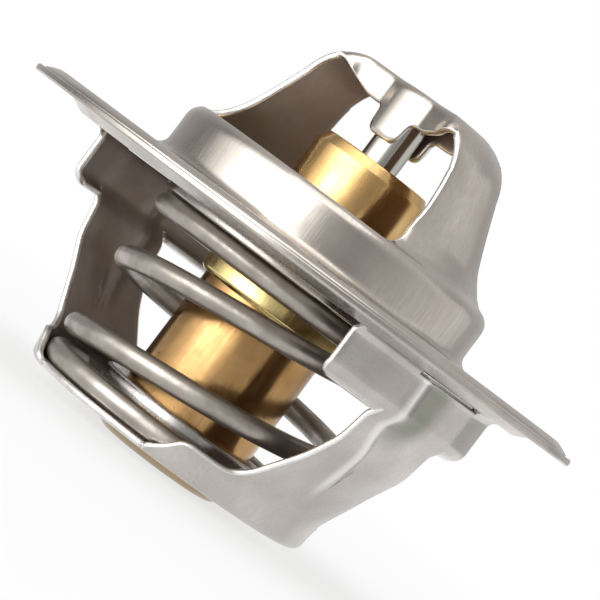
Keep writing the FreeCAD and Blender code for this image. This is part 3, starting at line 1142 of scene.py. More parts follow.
    def row_places(self) -> list[float]:
        """Lengths along the profile at which an arm and its half of the strap have a row of points.

        Returns:
            The lengths in order, in mm.
        """
        line, crown, sill = self.profile, self.profile.length, self.sill_place
        heights = [z for z in self.side_line[1:-1, 1] if z < self.side_marks_top]
        for step in range(1, self.crease_rows + 1):
            heights.append(self.sill_height + self.crease_row_gap * step)
        marks = line.at_heights(heights, sill)
        for corners in (self.wall_line, self.plan_line):
            marks += [crown - x for x in corners[1:-1, 0] if 0.0 < x < self.strap_marks_end]
        return line.levels(sill, crown, self.arm_row_gap, marks)

    def build(self) -> Mesh:
        """Makes the whole sheet.

        Returns:
            The closed mesh, in mm.
        """
        mesh = bmesh.new()
        radius, height = self.profile.at(self.sill_place)
        reach = float(self.side_line[0, 0])
        foot = [math.asin(reach * share / radius) for share in self.arm_shares()]
        rows = self.profile.levels(0.0, self.sill_place, self.collar_row_gap)
        weave_band(mesh, [self.profile.at(place) for place in rows], whole_turn(foot, self.rest_columns))
        points = [self.row_points(place) for place in self.row_places()]
        first = self.arc_columns + self.wall_columns
        seam = [(radius * math.cos(angle), radius * math.sin(angle), height) for angle in foot]
        points[0] = [seam[0]] * first + seam + [seam[-1]] * first
        for sign in (1.0, -1.0):
            weave(mesh, [[(sign * x, sign * y, z) for x, y, z in row] for row in points])
        tidy_sheet(mesh, faces_up=True)
        bottom = self.flange_top - self.sheet

        def inner_place(outer: Vector, plain: Vector) -> Vector:
            """Keeps the underside of the flange flat out to its edge."""
            on_flange = outer.xy.length > self.collar_radius + self.flat_margin
            return Vector((outer.x, outer.y, bottom)) if on_flange else plain

        # The bridge's whole inner side gets painted shade.
        thicken(mesh, self.sheet, self.edge_bulge, inner_place, lambda place: False, lambda place: True)
        return mesh


# ---------------------------------------------------------------- pressed cage


@dataclass
class Cage:
    """Lower flange layer, tabs, arms with pressed-in panels, cup walls and floor. Sizes in mm."""

    sheet: float = 0.6
    flange_radius: float = 23.1
    bevel_width: float = 1.2
    flange_bend: float = 0.8
    wall_radius: float = 19.9
    wall_foot: float = -4.6
    arm_corners: tuple[Corner, ...] = ((18.8, -6.0, 0.8), (18.2, -8.8, 5.0), (13.78, -16.3, 2.5))
    tab_bottom: float = -5.4
    tab_half_angle: float = 33.0
    tab_corner: float = 1.0
    arm_half_width: float = 4.9
    slit_width: float = 0.35
    slit_height: float = 0.5
    flare_start: float = -11.5
    flare_half_width: float = 6.0
    cup_top: float = -16.35
    cup_radius: float = 13.5
    floor_bottom: float = -18.8
    floor_bend: float = 0.9
    cup_end_angle: float = 50.4
    cup_foot_angle: float = 57.5
    hole_radius: float = 7.38
    collar_top: float = -15.6
    collar_bend: float = 0.8
    panel_depth: float = 0.5
    panel_top: float = -1.0
    panel_foot: float = -14.0
    slot_top: float = -0.72
    slot_half_width: float = 4.6
    panel_line_top: float = 0.5
    panel_half_width: float = 3.3
    panel_knee_half_width: float = 3.1
    panel_knee: float = -6.5
    panel_foot_half_width: float = 0.3
    panel_fade: float = 4.0
    # Painted shade inside each pressed-in panel.
    shade_foot: float = -8.0
    shade_rise: float = 3.0
    shade_left: Spot = (0.5, 0.9)
    shade_right: Spot = (-2.2, 0.4)
    shade_strength: float = 0.8
    # Painted highlight along the rib on the left of each panel.
    rib_highlight_offset: float = 0.35
    rib_highlight_half_width: float = 0.6
    rib_highlight_fade: Spot = (-0.8, 2.5)
    roll_height: float = 0.5
    roll_depth: float = 0.22
    cup_corner: float = 1.5
    cup_corner_drops: tuple[float, ...] = (0.04, 0.13, 0.28, 0.5, 0.8)
    tab_corner_angles: tuple[float, ...] = (15.0, 30.0, 45.0, 60.0, 75.0)
    edge_bulge: float = 0.24
    edge_gap: float = 0.03
    margin: float = 1.0
    flat_bottom: float = -0.9
    # Width of the collar round the hole that gets no painted shade.
    bright_width: float = 1.2
    narrowest_half: float = 0.1
    narrowest_column: float = 0.04
    side_row_gap: float = 0.45
    cup_row_gap: float = 0.4
    flange_row_gap: float = 0.7
    floor_row_gap: float = 0.6
    trough_places: tuple[float, ...] = (-2.2, -1.5, -0.95, -0.5, -0.1, 0.25, 0.55, 0.9, 1.25)
    left_heights: tuple[float, ...] = (-1.0, -0.95, -0.7, -0.25, 0.2, 0.46, 0.5, 0.25, 0.0)
    right_heights: tuple[float, ...] = (-1.0, -0.92, -0.78, -0.6, -0.42, -0.26, -0.15, -0.06, 0.0)
    panel_columns: int = 5
    side_columns: int = 6
    tab_columns: int = 12
    cup_columns: int = 12
    rest_columns: int = 40

    def __post_init__(self) -> None:
        """Samples the lines that the sheet follows."""
        bottom = -self.sheet
        self.profile = Profile(
            [
                (self.flange_radius, -self.edge_gap, 0.0),
                (self.flange_radius - self.bevel_width, bottom, 0.5),
                (self.wall_radius, bottom, self.flange_bend),
                (self.wall_radius, self.wall_foot, 1.6),
                *self.arm_corners,
                (self.cup_radius, self.floor_bottom, self.floor_bend),
                (self.hole_radius, self.floor_bottom, self.collar_bend),
                (self.hole_radius, self.collar_top, 0.0),
            ],
            step=9.0,
        )
        line = self.profile
        self.bend_place = line.place_where(0, self.wall_radius + self.flange_bend)
        self.tab_place = line.place_where(1, self.tab_bottom, self.bend_place)
        self.slit_place = line.place_where(1, self.tab_bottom + self.slit_height, self.bend_place)
        self.cup_place = line.place_where(1, self.cup_top, self.tab_place)
        self.floor_place = line.place_where(0, self.cup_radius - self.floor_bend, self.cup_place)
        self.arm_line = rounded_line(
            [
                (self.arm_half_width, 0.0, 0.0),
                (self.arm_half_width, self.flare_start, 6.0),
                (self.flare_half_width, self.cup_top, 2.0),
                (self.cup_radius, self.cup_top, 0.0),
            ],
            step=9.0,
        )[:-1]
        self.panel_line = rounded_line(
            [
                (self.panel_half_width, self.panel_line_top, 0.0),
                (self.panel_knee_half_width, self.panel_knee, 5.0),
                (self.panel_foot_half_width, self.panel_foot, 0.0),
            ]
        )
        self.tab_half_width = self.wall_radius * math.sin(math.radians(self.tab_half_angle))

    def press(self, height: float) -> float:
        """How deep the panel and its ridges are pressed at a height.

        Args:
            height: height on the cage, in mm.

        Returns:
            The depth, in mm.
        """
        top = clamp((self.slot_top - height) / (self.slot_top - self.panel_top))
        foot = between(height, self.panel_foot, self.panel_foot + self.panel_fade)
        return self.panel_depth * top * foot

    def roll(self, height: float) -> float:
        """Share of the rolled foot of a tab at a height, none below the tab.

        Args:
            height: height on the cage, in mm.

        Returns:
            The share, from 0 to 1.
        """
        if height < self.tab_bottom - TAB_FOOT_ROOM:
            return 0.0
        return between(-height, -self.tab_bottom - self.roll_height, -self.tab_bottom)

    def arm_columns(self, height: float) -> list[Column]:
        """Half of the columns across an arm, from its middle to its edge.

        Args:
            height: height of the row.

        Returns:
            Distance of each column from the middle, and its share of the panel's depth on either side.
        """
        panel, edge = read_line(self.panel_line, height), read_line(self.arm_line, height)
        start = max(self.narrowest_half, panel + self.trough_places[0])
        columns = [(start * step / self.panel_columns, -1.0, -1.0) for step in range(self.panel_columns)]
        for place, right, left in zip(self.trough_places, self.right_heights, self.left_heights):
            columns.append((max(columns[-1][0] + self.narrowest_column, panel + place), right, left))
        start = columns[-1][0]
        for step in range(1, self.side_columns + 1):
            columns.append((start + (edge - start) * step / self.side_columns, 0.0, 0.0))
        return columns

    def tab_width(self, height: float) -> float:
        """Distance of the tab's end from the middle of the arm, with its rounded corner.

        Args:
            height: height on the cage, in mm.

        Returns:
            The distance, in mm.
        """
        drop = (self.tab_bottom + self.tab_corner - height) / self.tab_corner
        if drop <= 0.0:
            return self.tab_half_width
        return self.tab_half_width - self.tab_corner * (1.0 - math.sqrt(max(0.0, 1.0 - drop * drop)))

    def spot(self, place: float, width: float, share: float, sign: float, as_angle: bool) -> Place:
        """Point of the sheet.

        Args:
            place: length along the profile.
            width: distance from the middle of the arm in mm, or an angle.
            share: share of the panel's depth that the point is moved by.
            sign: 1 for the +X side, -1 for the other.
            as_angle: whether width is an angle.

        Returns:
            The point in mm.
        """
        radius, height = self.profile.at(place)
        angle = width if as_angle else math.asin(float(np.clip(width / radius, -1.0, 1.0)))
        radius += share * self.press(height)
        if not as_angle and abs(width) > self.arm_half_width + EDGE_ROOM:
            radius -= self.roll_depth * self.roll(height) ** 2
        return sign * radius * math.cos(angle), sign * radius * math.sin(angle), height

    def both_halves(self, half: Sequence[Column]) -> list[Spot]:
        """Columns from the left edge to the right, from those of one half."""
        left = [(-width, share) for width, _, share in reversed(half[1:])]
        return left + [(width, share) for width, share, _ in half]

    def build(self) -> Mesh:
        """Makes the whole sheet.

        Returns:
            The closed mesh, in mm.
        """
        mesh = bmesh.new()
        for sign in (1.0, -1.0):
            self.add_side(mesh, sign)
        self.add_rings(mesh)
        tidy_sheet(mesh, faces_up=False)
        self.add_marks(mesh)

        def inner_place(outer: Vector, plain: Vector) -> Vector:
            """Keeps the upper side of the flange flat out to its edge."""
            on_flange = outer.xy.length > self.wall_radius + self.margin and outer.z > self.flat_bottom
            return Vector((outer.x, outer.y, 0.0)) if on_flange else plain

        def in_slot(place: Vector) -> bool:
            """Whether a point is on the edge of a slot over a panel."""
            inside = place.xy.length < self.flange_radius - self.margin
            return inside and place.z > self.panel_top - SLOT_ROOM

        def in_shaded_bowl(place: Vector) -> bool:
            """Whether a point is clear of the bright collar round the hole, so that the inner side behind it
            gets painted shade.
            """
            return place.xy.length > self.hole_radius + self.bright_width

        thicken(mesh, self.sheet, self.edge_bulge, inner_place, in_slot, in_shaded_bowl)
        return mesh

    def add_marks(self, mesh: Mesh) -> None:
        """Marks the painted shade in each panel, the painted highlight along the rib on its left and on the
        rolled tab feet.

        Args:
            mesh: the mesh whose points get the marks.
        """
        for name in (FILM_AND_SHADE, PAINTED_HIGHLIGHT):
            mesh.verts.layers.float.new(name)
        film_and_shade_mark, rib = mesh.verts.layers.float[FILM_AND_SHADE], mesh.verts.layers.float[PAINTED_HIGHLIGHT]
        (left_low, left_high), (right_low, right_high) = self.shade_left, self.shade_right
        highlight_low, highlight_high = self.rib_highlight_fade
        for vertex in mesh.verts:
            height = vertex.co.z
            width = math.copysign(1.0, vertex.co.x) * vertex.co.y
            if abs(width) > self.arm_half_width:
                # The rolled tab foot gets a painted highlight.
                vertex[rib] = self.roll(height)
            elif height <= self.panel_top - EDGE_ROOM:
                panel = read_line(self.panel_line, height)
                from_left = between(width, left_low - panel, left_high - panel)
                from_right = between(-width, right_low, right_high)
                spread = between(height, self.shade_foot, self.shade_foot + self.shade_rise)
                # Painted shade inside the panel.
                vertex[film_and_shade_mark] = self.shade_strength * from_left * from_right * spread
                # Painted highlight along the rib.
                reach = abs(width + panel + self.rib_highlight_offset) / self.rib_highlight_half_width
                length = between(height, self.panel_foot + highlight_low, self.panel_foot + highlight_high)
                vertex[rib] = max(0.0, 1.0 - reach * reach) * length

    def tab_row(self, place: float) -> list[Spot]:
        """Columns of a row that crosses the arm and its two tabs.

        Args:
            place: length along the profile, in mm.

        Returns:
            Place of each column across the arm in mm, and its share of the panel's depth.
        """
        height = self.profile.at(place)[1]
        half = self.arm_columns(height)
        slit = self.arm_half_width + self.slit_width
        end = self.tab_width(height)
        for step in range(self.tab_columns + 1):
            half.append((slit + (end - slit) * step / self.tab_columns, 0.0, 0.0))
        return self.both_halves(half)

    def cup_row(self, place: float) -> list[Spot]:
        """Columns of a row of the cup wall, as angles.

        Args:
            place: length along the profile, in mm.

        Returns:
            Angle of each column in radians, and its share of the panel's depth.
        """
        radius, height = self.profile.at(place)
        share = between(-height, -self.cup_top, -self.floor_bottom) ** 2
        end = math.radians(self.cup_end_angle + (self.cup_foot_angle - self.cup_end_angle) * share)
        corner = 1.0 - min(1.0, (self.cup_top - height) / self.cup_corner)
        end -= self.cup_corner * (1.0 - math.sqrt(1.0 - corner * corner)) / radius
        columns = self.arm_columns(self.cup_top + JUST_ABOVE)
        half = [(math.asin(width / radius), right, left) for width, right, left in columns]
        start = half[-1][0]
        for step in range(1, self.cup_columns + 1):
            half.append((start + (end - start) * step / self.cup_columns, 0.0, 0.0))
        return self.both_halves(half)

    def add_patch(
        self,
        mesh: Mesh,
        rows: Sequence[float],
        columns: Sequence[Sequence[Spot]],
        sign: float,
        as_angle: bool = False,
    ) -> None:
        """Adds a patch of the sheet.

        Args:
            mesh: the mesh that is added to.
            rows: length of each row along the profile.
            columns: width and share of the panel's depth of each column, for each row.
            sign: 1 for the +X side, -1 for the other.
            as_angle: whether the widths are angles.
        """
        spots = []
        for place, line in zip(rows, columns):
            spots.append([self.spot(place, width, share, sign, as_angle) for width, share in line])
        weave(mesh, spots)

    def add_side(self, mesh: Mesh, sign: float) -> None:
        """Adds the tabs, arm and cup wall of one side.

        Args:
            mesh: the mesh that is added to.
            sign: 1 for the +X side, -1 for the other.
        """
        self.add_tabs(mesh, sign)
        line = self.profile
        heights = [z for z in self.arm_line[1:-1, 1] if self.cup_top < z < self.tab_bottom]
        marks = line.at_heights(heights, self.tab_place)
        rows = line.levels(self.tab_place, self.cup_place, self.side_row_gap, marks)
        heights = [max(line.at(place)[1], self.cup_top + JUST_ABOVE) for place in rows]
        columns = [self.both_halves(self.arm_columns(height)) for height in heights]
        self.add_patch(mesh, rows, columns, sign)
        marks = line.at_heights([self.cup_top - drop for drop in self.cup_corner_drops], self.cup_place)
        rows = line.levels(self.cup_place, self.floor_place, self.cup_row_gap, marks)
        self.add_patch(mesh, rows, [self.cup_row(place) for place in rows], sign, as_angle=True)

    def add_tabs(self, mesh: Mesh, sign: float) -> None:
        """Adds the tabs and the top of the arm between them, with its slot and slits.

        Args:
            mesh: the mesh that is added to.
            sign: 1 for the +X side, -1 for the other.
        """
        line = self.profile
        heights = [self.slot_top, self.panel_top]
        for angle in self.tab_corner_angles:
            heights.append(self.tab_bottom + self.tab_corner * (1.0 - math.sin(math.radians(angle))))
        marks = line.at_heights(heights, self.bend_place) + [self.slit_place]
        slot_start, slot_end = marks[:2]
        rows = line.levels(self.bend_place, self.tab_place, self.side_row_gap, marks)
        columns = [self.tab_row(place) for place in rows]
        middle, across = len(columns[0]) // 2, len(columns[0]) - 1
        arm_edge = len(self.arm_columns(0.0)) - 1
        widths = [width for width, _, _ in self.arm_columns(self.panel_top)]
        slot_columns = sum(width < self.slot_half_width for width in widths)
        patch = bmesh.new()
        self.add_patch(patch, rows, columns, sign)
        doomed = []
        for index, face in enumerate(patch.faces):
            row, column = divmod(index, across)
            offset = min(abs(column - middle), abs(column + 1 - middle))
            in_slot = slot_start - ROW_ROOM < rows[row] < slot_end - ROW_ROOM and offset < slot_columns
            in_slit = rows[row] > self.slit_place - ROW_ROOM and offset == arm_edge
            if in_slot or in_slit:
                doomed.append(face)
        bmesh.ops.delete(patch, geom=doomed, context="FACES")
        self.join(mesh, patch)

    @staticmethod
    def join(mesh: Mesh, patch: Mesh) -> None:
        """Copies a patch into a mesh and frees it.

        Args:
            mesh: the mesh that is added to.
            patch: the mesh that is copied.
        """
        data = bpy.data.meshes.new("patch")
        patch.to_mesh(data)
        patch.free()
        mesh.from_mesh(data)
        bpy.data.meshes.remove(data)

    def add_rings(self, mesh: Mesh) -> None:
        """Adds the flange and the floor, which run all the way round.

        Args:
            mesh: the mesh that is added to.
        """
        line = self.profile
        flange_radius = line.at(self.bend_place)[0]
        flange_sector = [math.asin(width / flange_radius) for width, _ in self.tab_row(self.bend_place)]
        floor_sector = [angle for angle, _ in self.cup_row(self.floor_place)]
        flange_rows = line.levels(0.0, self.bend_place, self.flange_row_gap)
        floor_rows = line.levels(self.floor_place, line.length, self.floor_row_gap)
        for rows, sector in ((flange_rows, flange_sector), (floor_rows, floor_sector)):
            weave_band(mesh, [line.at(place) for place in rows], whole_turn(sector, self.rest_columns))


# ---------------------------------------------------------------- spring


@dataclass
class MainSpring:
    """Round-wire compression spring with flat end coils. Sizes in mm and degrees."""

    wire_radius: float = 0.98
    mean_radius: float = 11.92
    low: float = -17.18
    high: float = -2.23
    start_angle: float = -173.0
    step: float = 3.0
    sides: int = 24
    caps: tuple[Spot, ...] = ((0.0, 0.0), (0.55, 0.0), (0.84, 0.0), (0.95, 0.04), (1.0, 0.12))
    rise: tuple[Spot, ...] = (
        (0.0, 0.0), (122.0, 0.0), (212.0, 0.025), (272.0, 0.075), (332.0, 0.122), (392.0, 0.167),
        (482.0, 0.285), (572.0, 0.425), (662.0, 0.515), (752.0, 0.622), (842.0, 0.77), (932.0, 0.9),
        (1022.0, 0.965), (1112.0, 0.993), (1172.0, 1.0), (1255.0, 1.0),
    )
    travel: tuple[Spot, ...] = (
        (0.0, 0.0), (212.0, 0.0), (360.0, 0.067), (480.0, 0.23), (535.0, 0.31), (640.0, 0.5),
        (720.0, 0.66), (780.0, 0.76), (840.0, 0.86), (895.0, 0.95), (1060.0, 1.0), (1255.0, 1.0),
    )

    def slopes(self) -> list[float]:
        """Slope of the rise at each listed angle, zero where the wire lies flat.

        Returns:
            The slopes, as share of the height for each degree.
        """
        slopes = [0.0]
        for before, here, after in zip(self.rise, self.rise[1:], self.rise[2:]):
            left = (here[1] - before[1]) / (here[0] - before[0])
            right = (after[1] - here[1]) / (after[0] - here[0])
            slopes.append(2.0 * left * right / (left + right) if left > 0.0 and right > 0.0 else 0.0)
        return slopes + [0.0]

    def risen(self, angle: float, slopes: Sequence[float]) -> float:
        """Share of the height at an angle along the wire.

        Args:
            angle: angle from the lower end.
            slopes: slope at each listed angle.

        Returns:
            The share, from 0 to 1.
        """
        index = 0
        while index < len(self.rise) - 2 and angle > self.rise[index + 1][0]:
            index += 1
        (start, low), (end, high) = self.rise[index], self.rise[index + 1]
        span = end - start
        t = (angle - start) / span
        from_low = (1.0 + 2.0 * t) * low + t * slopes[index] * span
        from_high = (3.0 - 2.0 * t) * high + (t - 1.0) * slopes[index + 1] * span
        return (1.0 - t) ** 2 * from_low + t**2 * from_high

    def centre_line(self) -> np.ndarray:
        """Points along the middle of the wire.

        Returns:
            One row of X, Y and Z for each point, in mm.
        """
        whole = self.rise[-1][0]
        slopes = self.slopes()
        points = []
        for angle in np.linspace(0.0, whole, int(whole / self.step)):
            height = self.low + (self.high - self.low) * self.risen(float(angle), slopes)
            turn = math.radians(angle + self.start_angle)
            points.append((self.mean_radius * math.cos(turn), self.mean_radius * math.sin(turn), height))
        return np.array(points)

    def ring(self, centre: np.ndarray, way: np.ndarray, size: float) -> list[Place]:
        """Points round the wire.

        Args:
            centre: middle of the wire.
            way: unit direction of the wire.
            size: radius of the ring as a share of the wire's.

        Returns:
            The points, the last one on the first.
        """
        out = np.array([centre[0], centre[1], 0.0])
        out /= np.linalg.norm(out)
        out -= way * (out @ way)
        out /= np.linalg.norm(out)
        up = np.cross(way, out)
        angles = [FULL_TURN * step / self.sides for step in range(self.sides + 1)]
        turned = [out * math.cos(angle) + up * math.sin(angle) for angle in angles]
        return [tuple(centre + spoke * self.wire_radius * size) for spoke in turned]

    def build(self) -> tuple[Mesh, np.ndarray]:
        """Makes the wire.

        Returns:
            The mesh in mm, and for each of its points the share of the valve's travel that it makes.
        """
        line = self.centre_line()
        ways = np.gradient(line, axis=0)
        ways /= np.linalg.norm(ways, axis=1)[:, None]
        last = len(line) - 1
        rings = [(0, size, shift) for size, shift in self.caps]
        rings += [(index, 1.0, 0.0) for index in range(1, last)]
        rings += [(last, size, -shift) for size, shift in reversed(self.caps)]
        mesh = bmesh.new()
        rows = []
        for index, size, shift in rings:
            rows.append(self.ring(line[index] + ways[index] * shift, ways[index], size))
        weave(mesh, rows)
        layer = mesh.verts.layers.float.new("share")
        angles, travelled = np.array(self.travel).T
        shares = np.interp(np.linspace(0.0, self.rise[-1][0], len(line)), angles, travelled)
        for number, vertex in enumerate(mesh.verts):
            vertex[layer] = shares[rings[number // (self.sides + 1)][0]]
        bmesh.ops.remove_doubles(mesh, verts=mesh.verts, dist=FINE_WELD)
        bmesh.ops.recalc_face_normals(mesh, faces=mesh.faces)
        moved = np.array([vertex[layer] for vertex in mesh.verts])
        mesh.verts.layers.float.remove(layer)
        return mesh, moved

    def place_spring(self, material: Material) -> Piece:
        """Adds the spring, whose coils close up evenly as the valve opens.

        Args:
            material: its finish.

        Returns:
            The new object.
        """
        mesh, shares = self.build()
        piece = add_smooth(mesh, "main_spring_wire", material)
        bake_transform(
            piece,
            Body.FRAME.value,
            Body.VALVE.value,
            start=(0.0, 0.0, self.low * MM),
            end=(0.0, 0.0, self.high * MM),
        )
        piece.data.attributes["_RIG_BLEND"].data.foreach_set("value", shares.astype(np.float32))
        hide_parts("main_spring")
        LOG.info("main_spring_wire: %d faces", len(piece.data.polygons))
        return piece


# ---------------------------------------------------------------- turned pieces


@dataclass
class SeatRing:
    """Middle flange layer with the turned-down valve seat. Sizes in mm."""

    rim_radius: float = 27.0
    bore_radius: float = 12.15
    sheet: float = 0.6
    lip_depth: float = 0.55

    def outline(self) -> list[Corner]:
        """Closed outline of radius and height.

        Returns:
            Corners with their rounding, in mm.
        """
        inner = self.bore_radius + self.sheet
        return [
            (self.rim_radius, self.sheet, 0.2),
            (self.bore_radius, self.sheet, 0.9),
            (self.bore_radius, -self.lip_depth, 0.08),
            (inner, -self.lip_depth, 0.12),
            (inner, 0.0, 0.3),
            (self.rim_radius, 0.0, 0.2),
        ]


@dataclass
class WaxElement:
    """Piston, brass guide and copper cup. Sizes in mm."""

    piston_radius: float = 1.73
    piston_top: float = 16.7
    piston_foot: float = -0.6
    bore_radius: float = 1.78
    guide_radius: float = 5.42
    guide_top: float = 10.4
    skirt_radius: float = 6.7
    skirt_top: float = -2.45
    skirt_bottom: float = -4.75
    skirt_wall: float = 0.3
    groove_depth: float = 0.25
    ring_height: float = 0.64
    groove_height: float = 0.55
    mouth_inset: float = 0.12
    mouth_drop: float = 0.03
    mouth_width: float = 0.35
    shoulder_width: float = 0.5
    shoulder_drop: float = 0.9
    shoulder_taper: float = 0.03
    taper_bottom: float = 1.3
    bore_top_drop: float = 0.4
    plug_radius: float = 2.3
    plug_top: float = -1.0
    wax_top: float = -3.25
    chamfer: float = 0.25
    cup_radius: float = 6.08
    cup_wall: float = 0.6
    cup_floor: float = 0.7
    cup_crimp: float = 0.34
    cup_gap: float = 0.04
    cup_bottom: float = -19.83
    cup_top: float = -3.6
    foot_tone_height: float = 1.3
    foot_tone_start: float = 0.2
    film_inner: float = 0.3
    film_outer: float = 0.6

    def piston_outline(self) -> list[Corner]:
        """Closed outline of the piston, with a small chamfer at each end.

        Returns:
            Corners with their rounding, in mm.
        """
        radius, chamfer = self.piston_radius, self.chamfer
        return [
            (0.0, self.piston_foot, 0.0),
            (radius - chamfer, self.piston_foot, 0.05),
            (radius, self.piston_foot + chamfer, 0.08),
            (radius, self.piston_top - chamfer, 0.08),
            (radius - chamfer, self.piston_top, 0.05),
            (0.0, self.piston_top, 0.0),
        ]

    def guide_outline(self) -> list[Corner]:
        """Closed outline of the brass guide with its crimped skirt.

        Returns:
            Corners with their rounding, in mm.
        """
        ring_bottom = self.skirt_top + self.ring_height
        ring_top = ring_bottom + self.groove_height
        groove = self.guide_radius - self.groove_depth
        inner, lip_top = self.skirt_radius - self.skirt_wall, self.skirt_bottom + self.skirt_wall
        cup = self.cup_radius + self.cup_gap
        return [
            (self.bore_radius + self.mouth_inset, self.guide_top - self.mouth_drop, 0.05),
            (self.bore_radius + self.mouth_width, self.guide_top, 0.1),
            (self.guide_radius - self.shoulder_width, self.guide_top, 0.22),
            (self.guide_radius - self.shoulder_taper, self.guide_top - self.shoulder_drop, 0.12),
            (self.guide_radius, self.guide_top - self.taper_bottom, 0.1),
            (self.guide_radius, ring_top, 0.02),
            (groove, ring_top, 0.0),
            (groove, ring_bottom, 0.0),
            (self.guide_radius, ring_bottom, 0.02),
            (self.guide_radius, self.skirt_top, 0.05),
            (self.skirt_radius, self.skirt_top, 0.28),
            (self.skirt_radius, lip_top, 0.25),
            (inner, self.skirt_bottom, 0.12),
            (cup, self.skirt_bottom, 0.05),
            (cup, lip_top, 0.0),
            (inner, lip_top, 0.0),
            (inner, self.wax_top, 0.0),
            (self.plug_radius, self.wax_top, 0.0),
            (self.plug_radius, self.plug_top, 0.0),
            (self.bore_radius, self.plug_top, 0.0),
            (self.bore_radius, self.guide_top - self.bore_top_drop, 0.0),
        ]

    def cup_outline(self) -> list[Corner]:
        """Closed outline of the copper cup.

        Returns:
            Corners with their rounding, in mm.
        """
        inner, floor = self.cup_radius - self.cup_wall, self.cup_bottom + self.cup_floor
        flange, flange_foot = self.skirt_radius - self.cup_crimp, self.skirt_bottom + self.cup_crimp
        return [
            (inner, self.cup_top, 0.05),
            (flange, self.cup_top, 0.05),
            (flange, flange_foot, 0.05),
            (self.cup_radius, flange_foot, 0.0),
            (self.cup_radius, self.cup_bottom, 1.0),
            (0.0, self.cup_bottom, 0.0),
            (0.0, floor, 0.0),
            (inner, floor, 0.4),
        ]

    def guide_film(self, radius: float, height: float) -> float:
        """Share of the pale yellow film on the guide, which covers its skirt.

        Args:
            radius: distance from the axis, in mm.
            height: height on the guide, in mm.

        Returns:
            The share, from 0 to 1.
        """
        if height > self.skirt_top + EDGE_ROOM:
            return 0.0
        return between(radius, self.guide_radius + self.film_inner, self.guide_radius + self.film_outer)

    def cup_foot_tone(self, radius: float, height: float) -> float:
        """Share of the darker olive-brown colour on the cup, which rises from its foot at any radius."""
        start, end = self.cup_bottom + self.foot_tone_start, self.cup_bottom + self.foot_tone_height
        return 1.0 - between(height, start, end)


@dataclass
class ValveDisc:
    """Pressed disc that closes the seat. Sizes in mm."""

    rim_radius: float = 12.9
    rim_bottom: float = -1.2
    knee_radius: float = 10.3
    foot_radius: float = 7.9
    hub_radius: float = 5.45
    hub_bottom: float = -2.45
    sheet: float = 0.6
    slant: float = 0.15

    def outline(self) -> list[Corner]:
        """Closed outline of radius and height.

        Returns:
            Corners with their rounding, in mm.
        """
        rim_top, hub_top = self.rim_bottom + self.sheet, self.hub_bottom + self.sheet
        return [
            (self.rim_radius, self.rim_bottom, 0.14),
            (self.knee_radius, self.rim_bottom, 1.0),
            (self.foot_radius, self.hub_bottom, 1.0),
            (self.hub_radius, self.hub_bottom, 0.05),
            (self.hub_radius, hub_top, 0.05),
            (self.foot_radius - self.slant, hub_top, 0.4),
            (self.knee_radius - self.slant, rim_top, 1.6),
            (self.rim_radius, rim_top, 0.14),
        ]


# ---------------------------------------------------------------- studio


@dataclass(frozen=True)
class Lamp:
    """Soft rectangular lamp that looks at the part.

    Angles are in degrees, sizes in metres and the level in watts per square metre and steradian.
    """

    name: str
    azimuth: float
    elevation: float
    distance: float
    width: float
    height: float
    level: float

    def place(self) -> None:
        """Adds the lamp to the scene."""
        light = bpy.data.lights.new(self.name, "AREA")
        light.shape = "RECTANGLE"
        light.size = self.width
        light.size_y = self.height
        light.energy = self.level * math.pi * self.width * self.height
        lamp = link_object(self.name, light)
        lamp.location = direction_to(self.azimuth, self.elevation) * self.distance
        lamp.rotation_mode = "QUATERNION"
        lamp.rotation_quaternion = (-lamp.location).to_track_quat("-Z", "Y")


def direction_to(azimuth: float, elevation: float) -> Vector:
    """Unit vector towards a viewpoint, azimuth 0 in front of the -Y side and 90 on the +X side."""
    turn, lift = math.radians(azimuth), math.radians(elevation)
    return Vector((math.sin(turn) * math.cos(lift), -math.cos(turn) * math.cos(lift), math.sin(lift)))


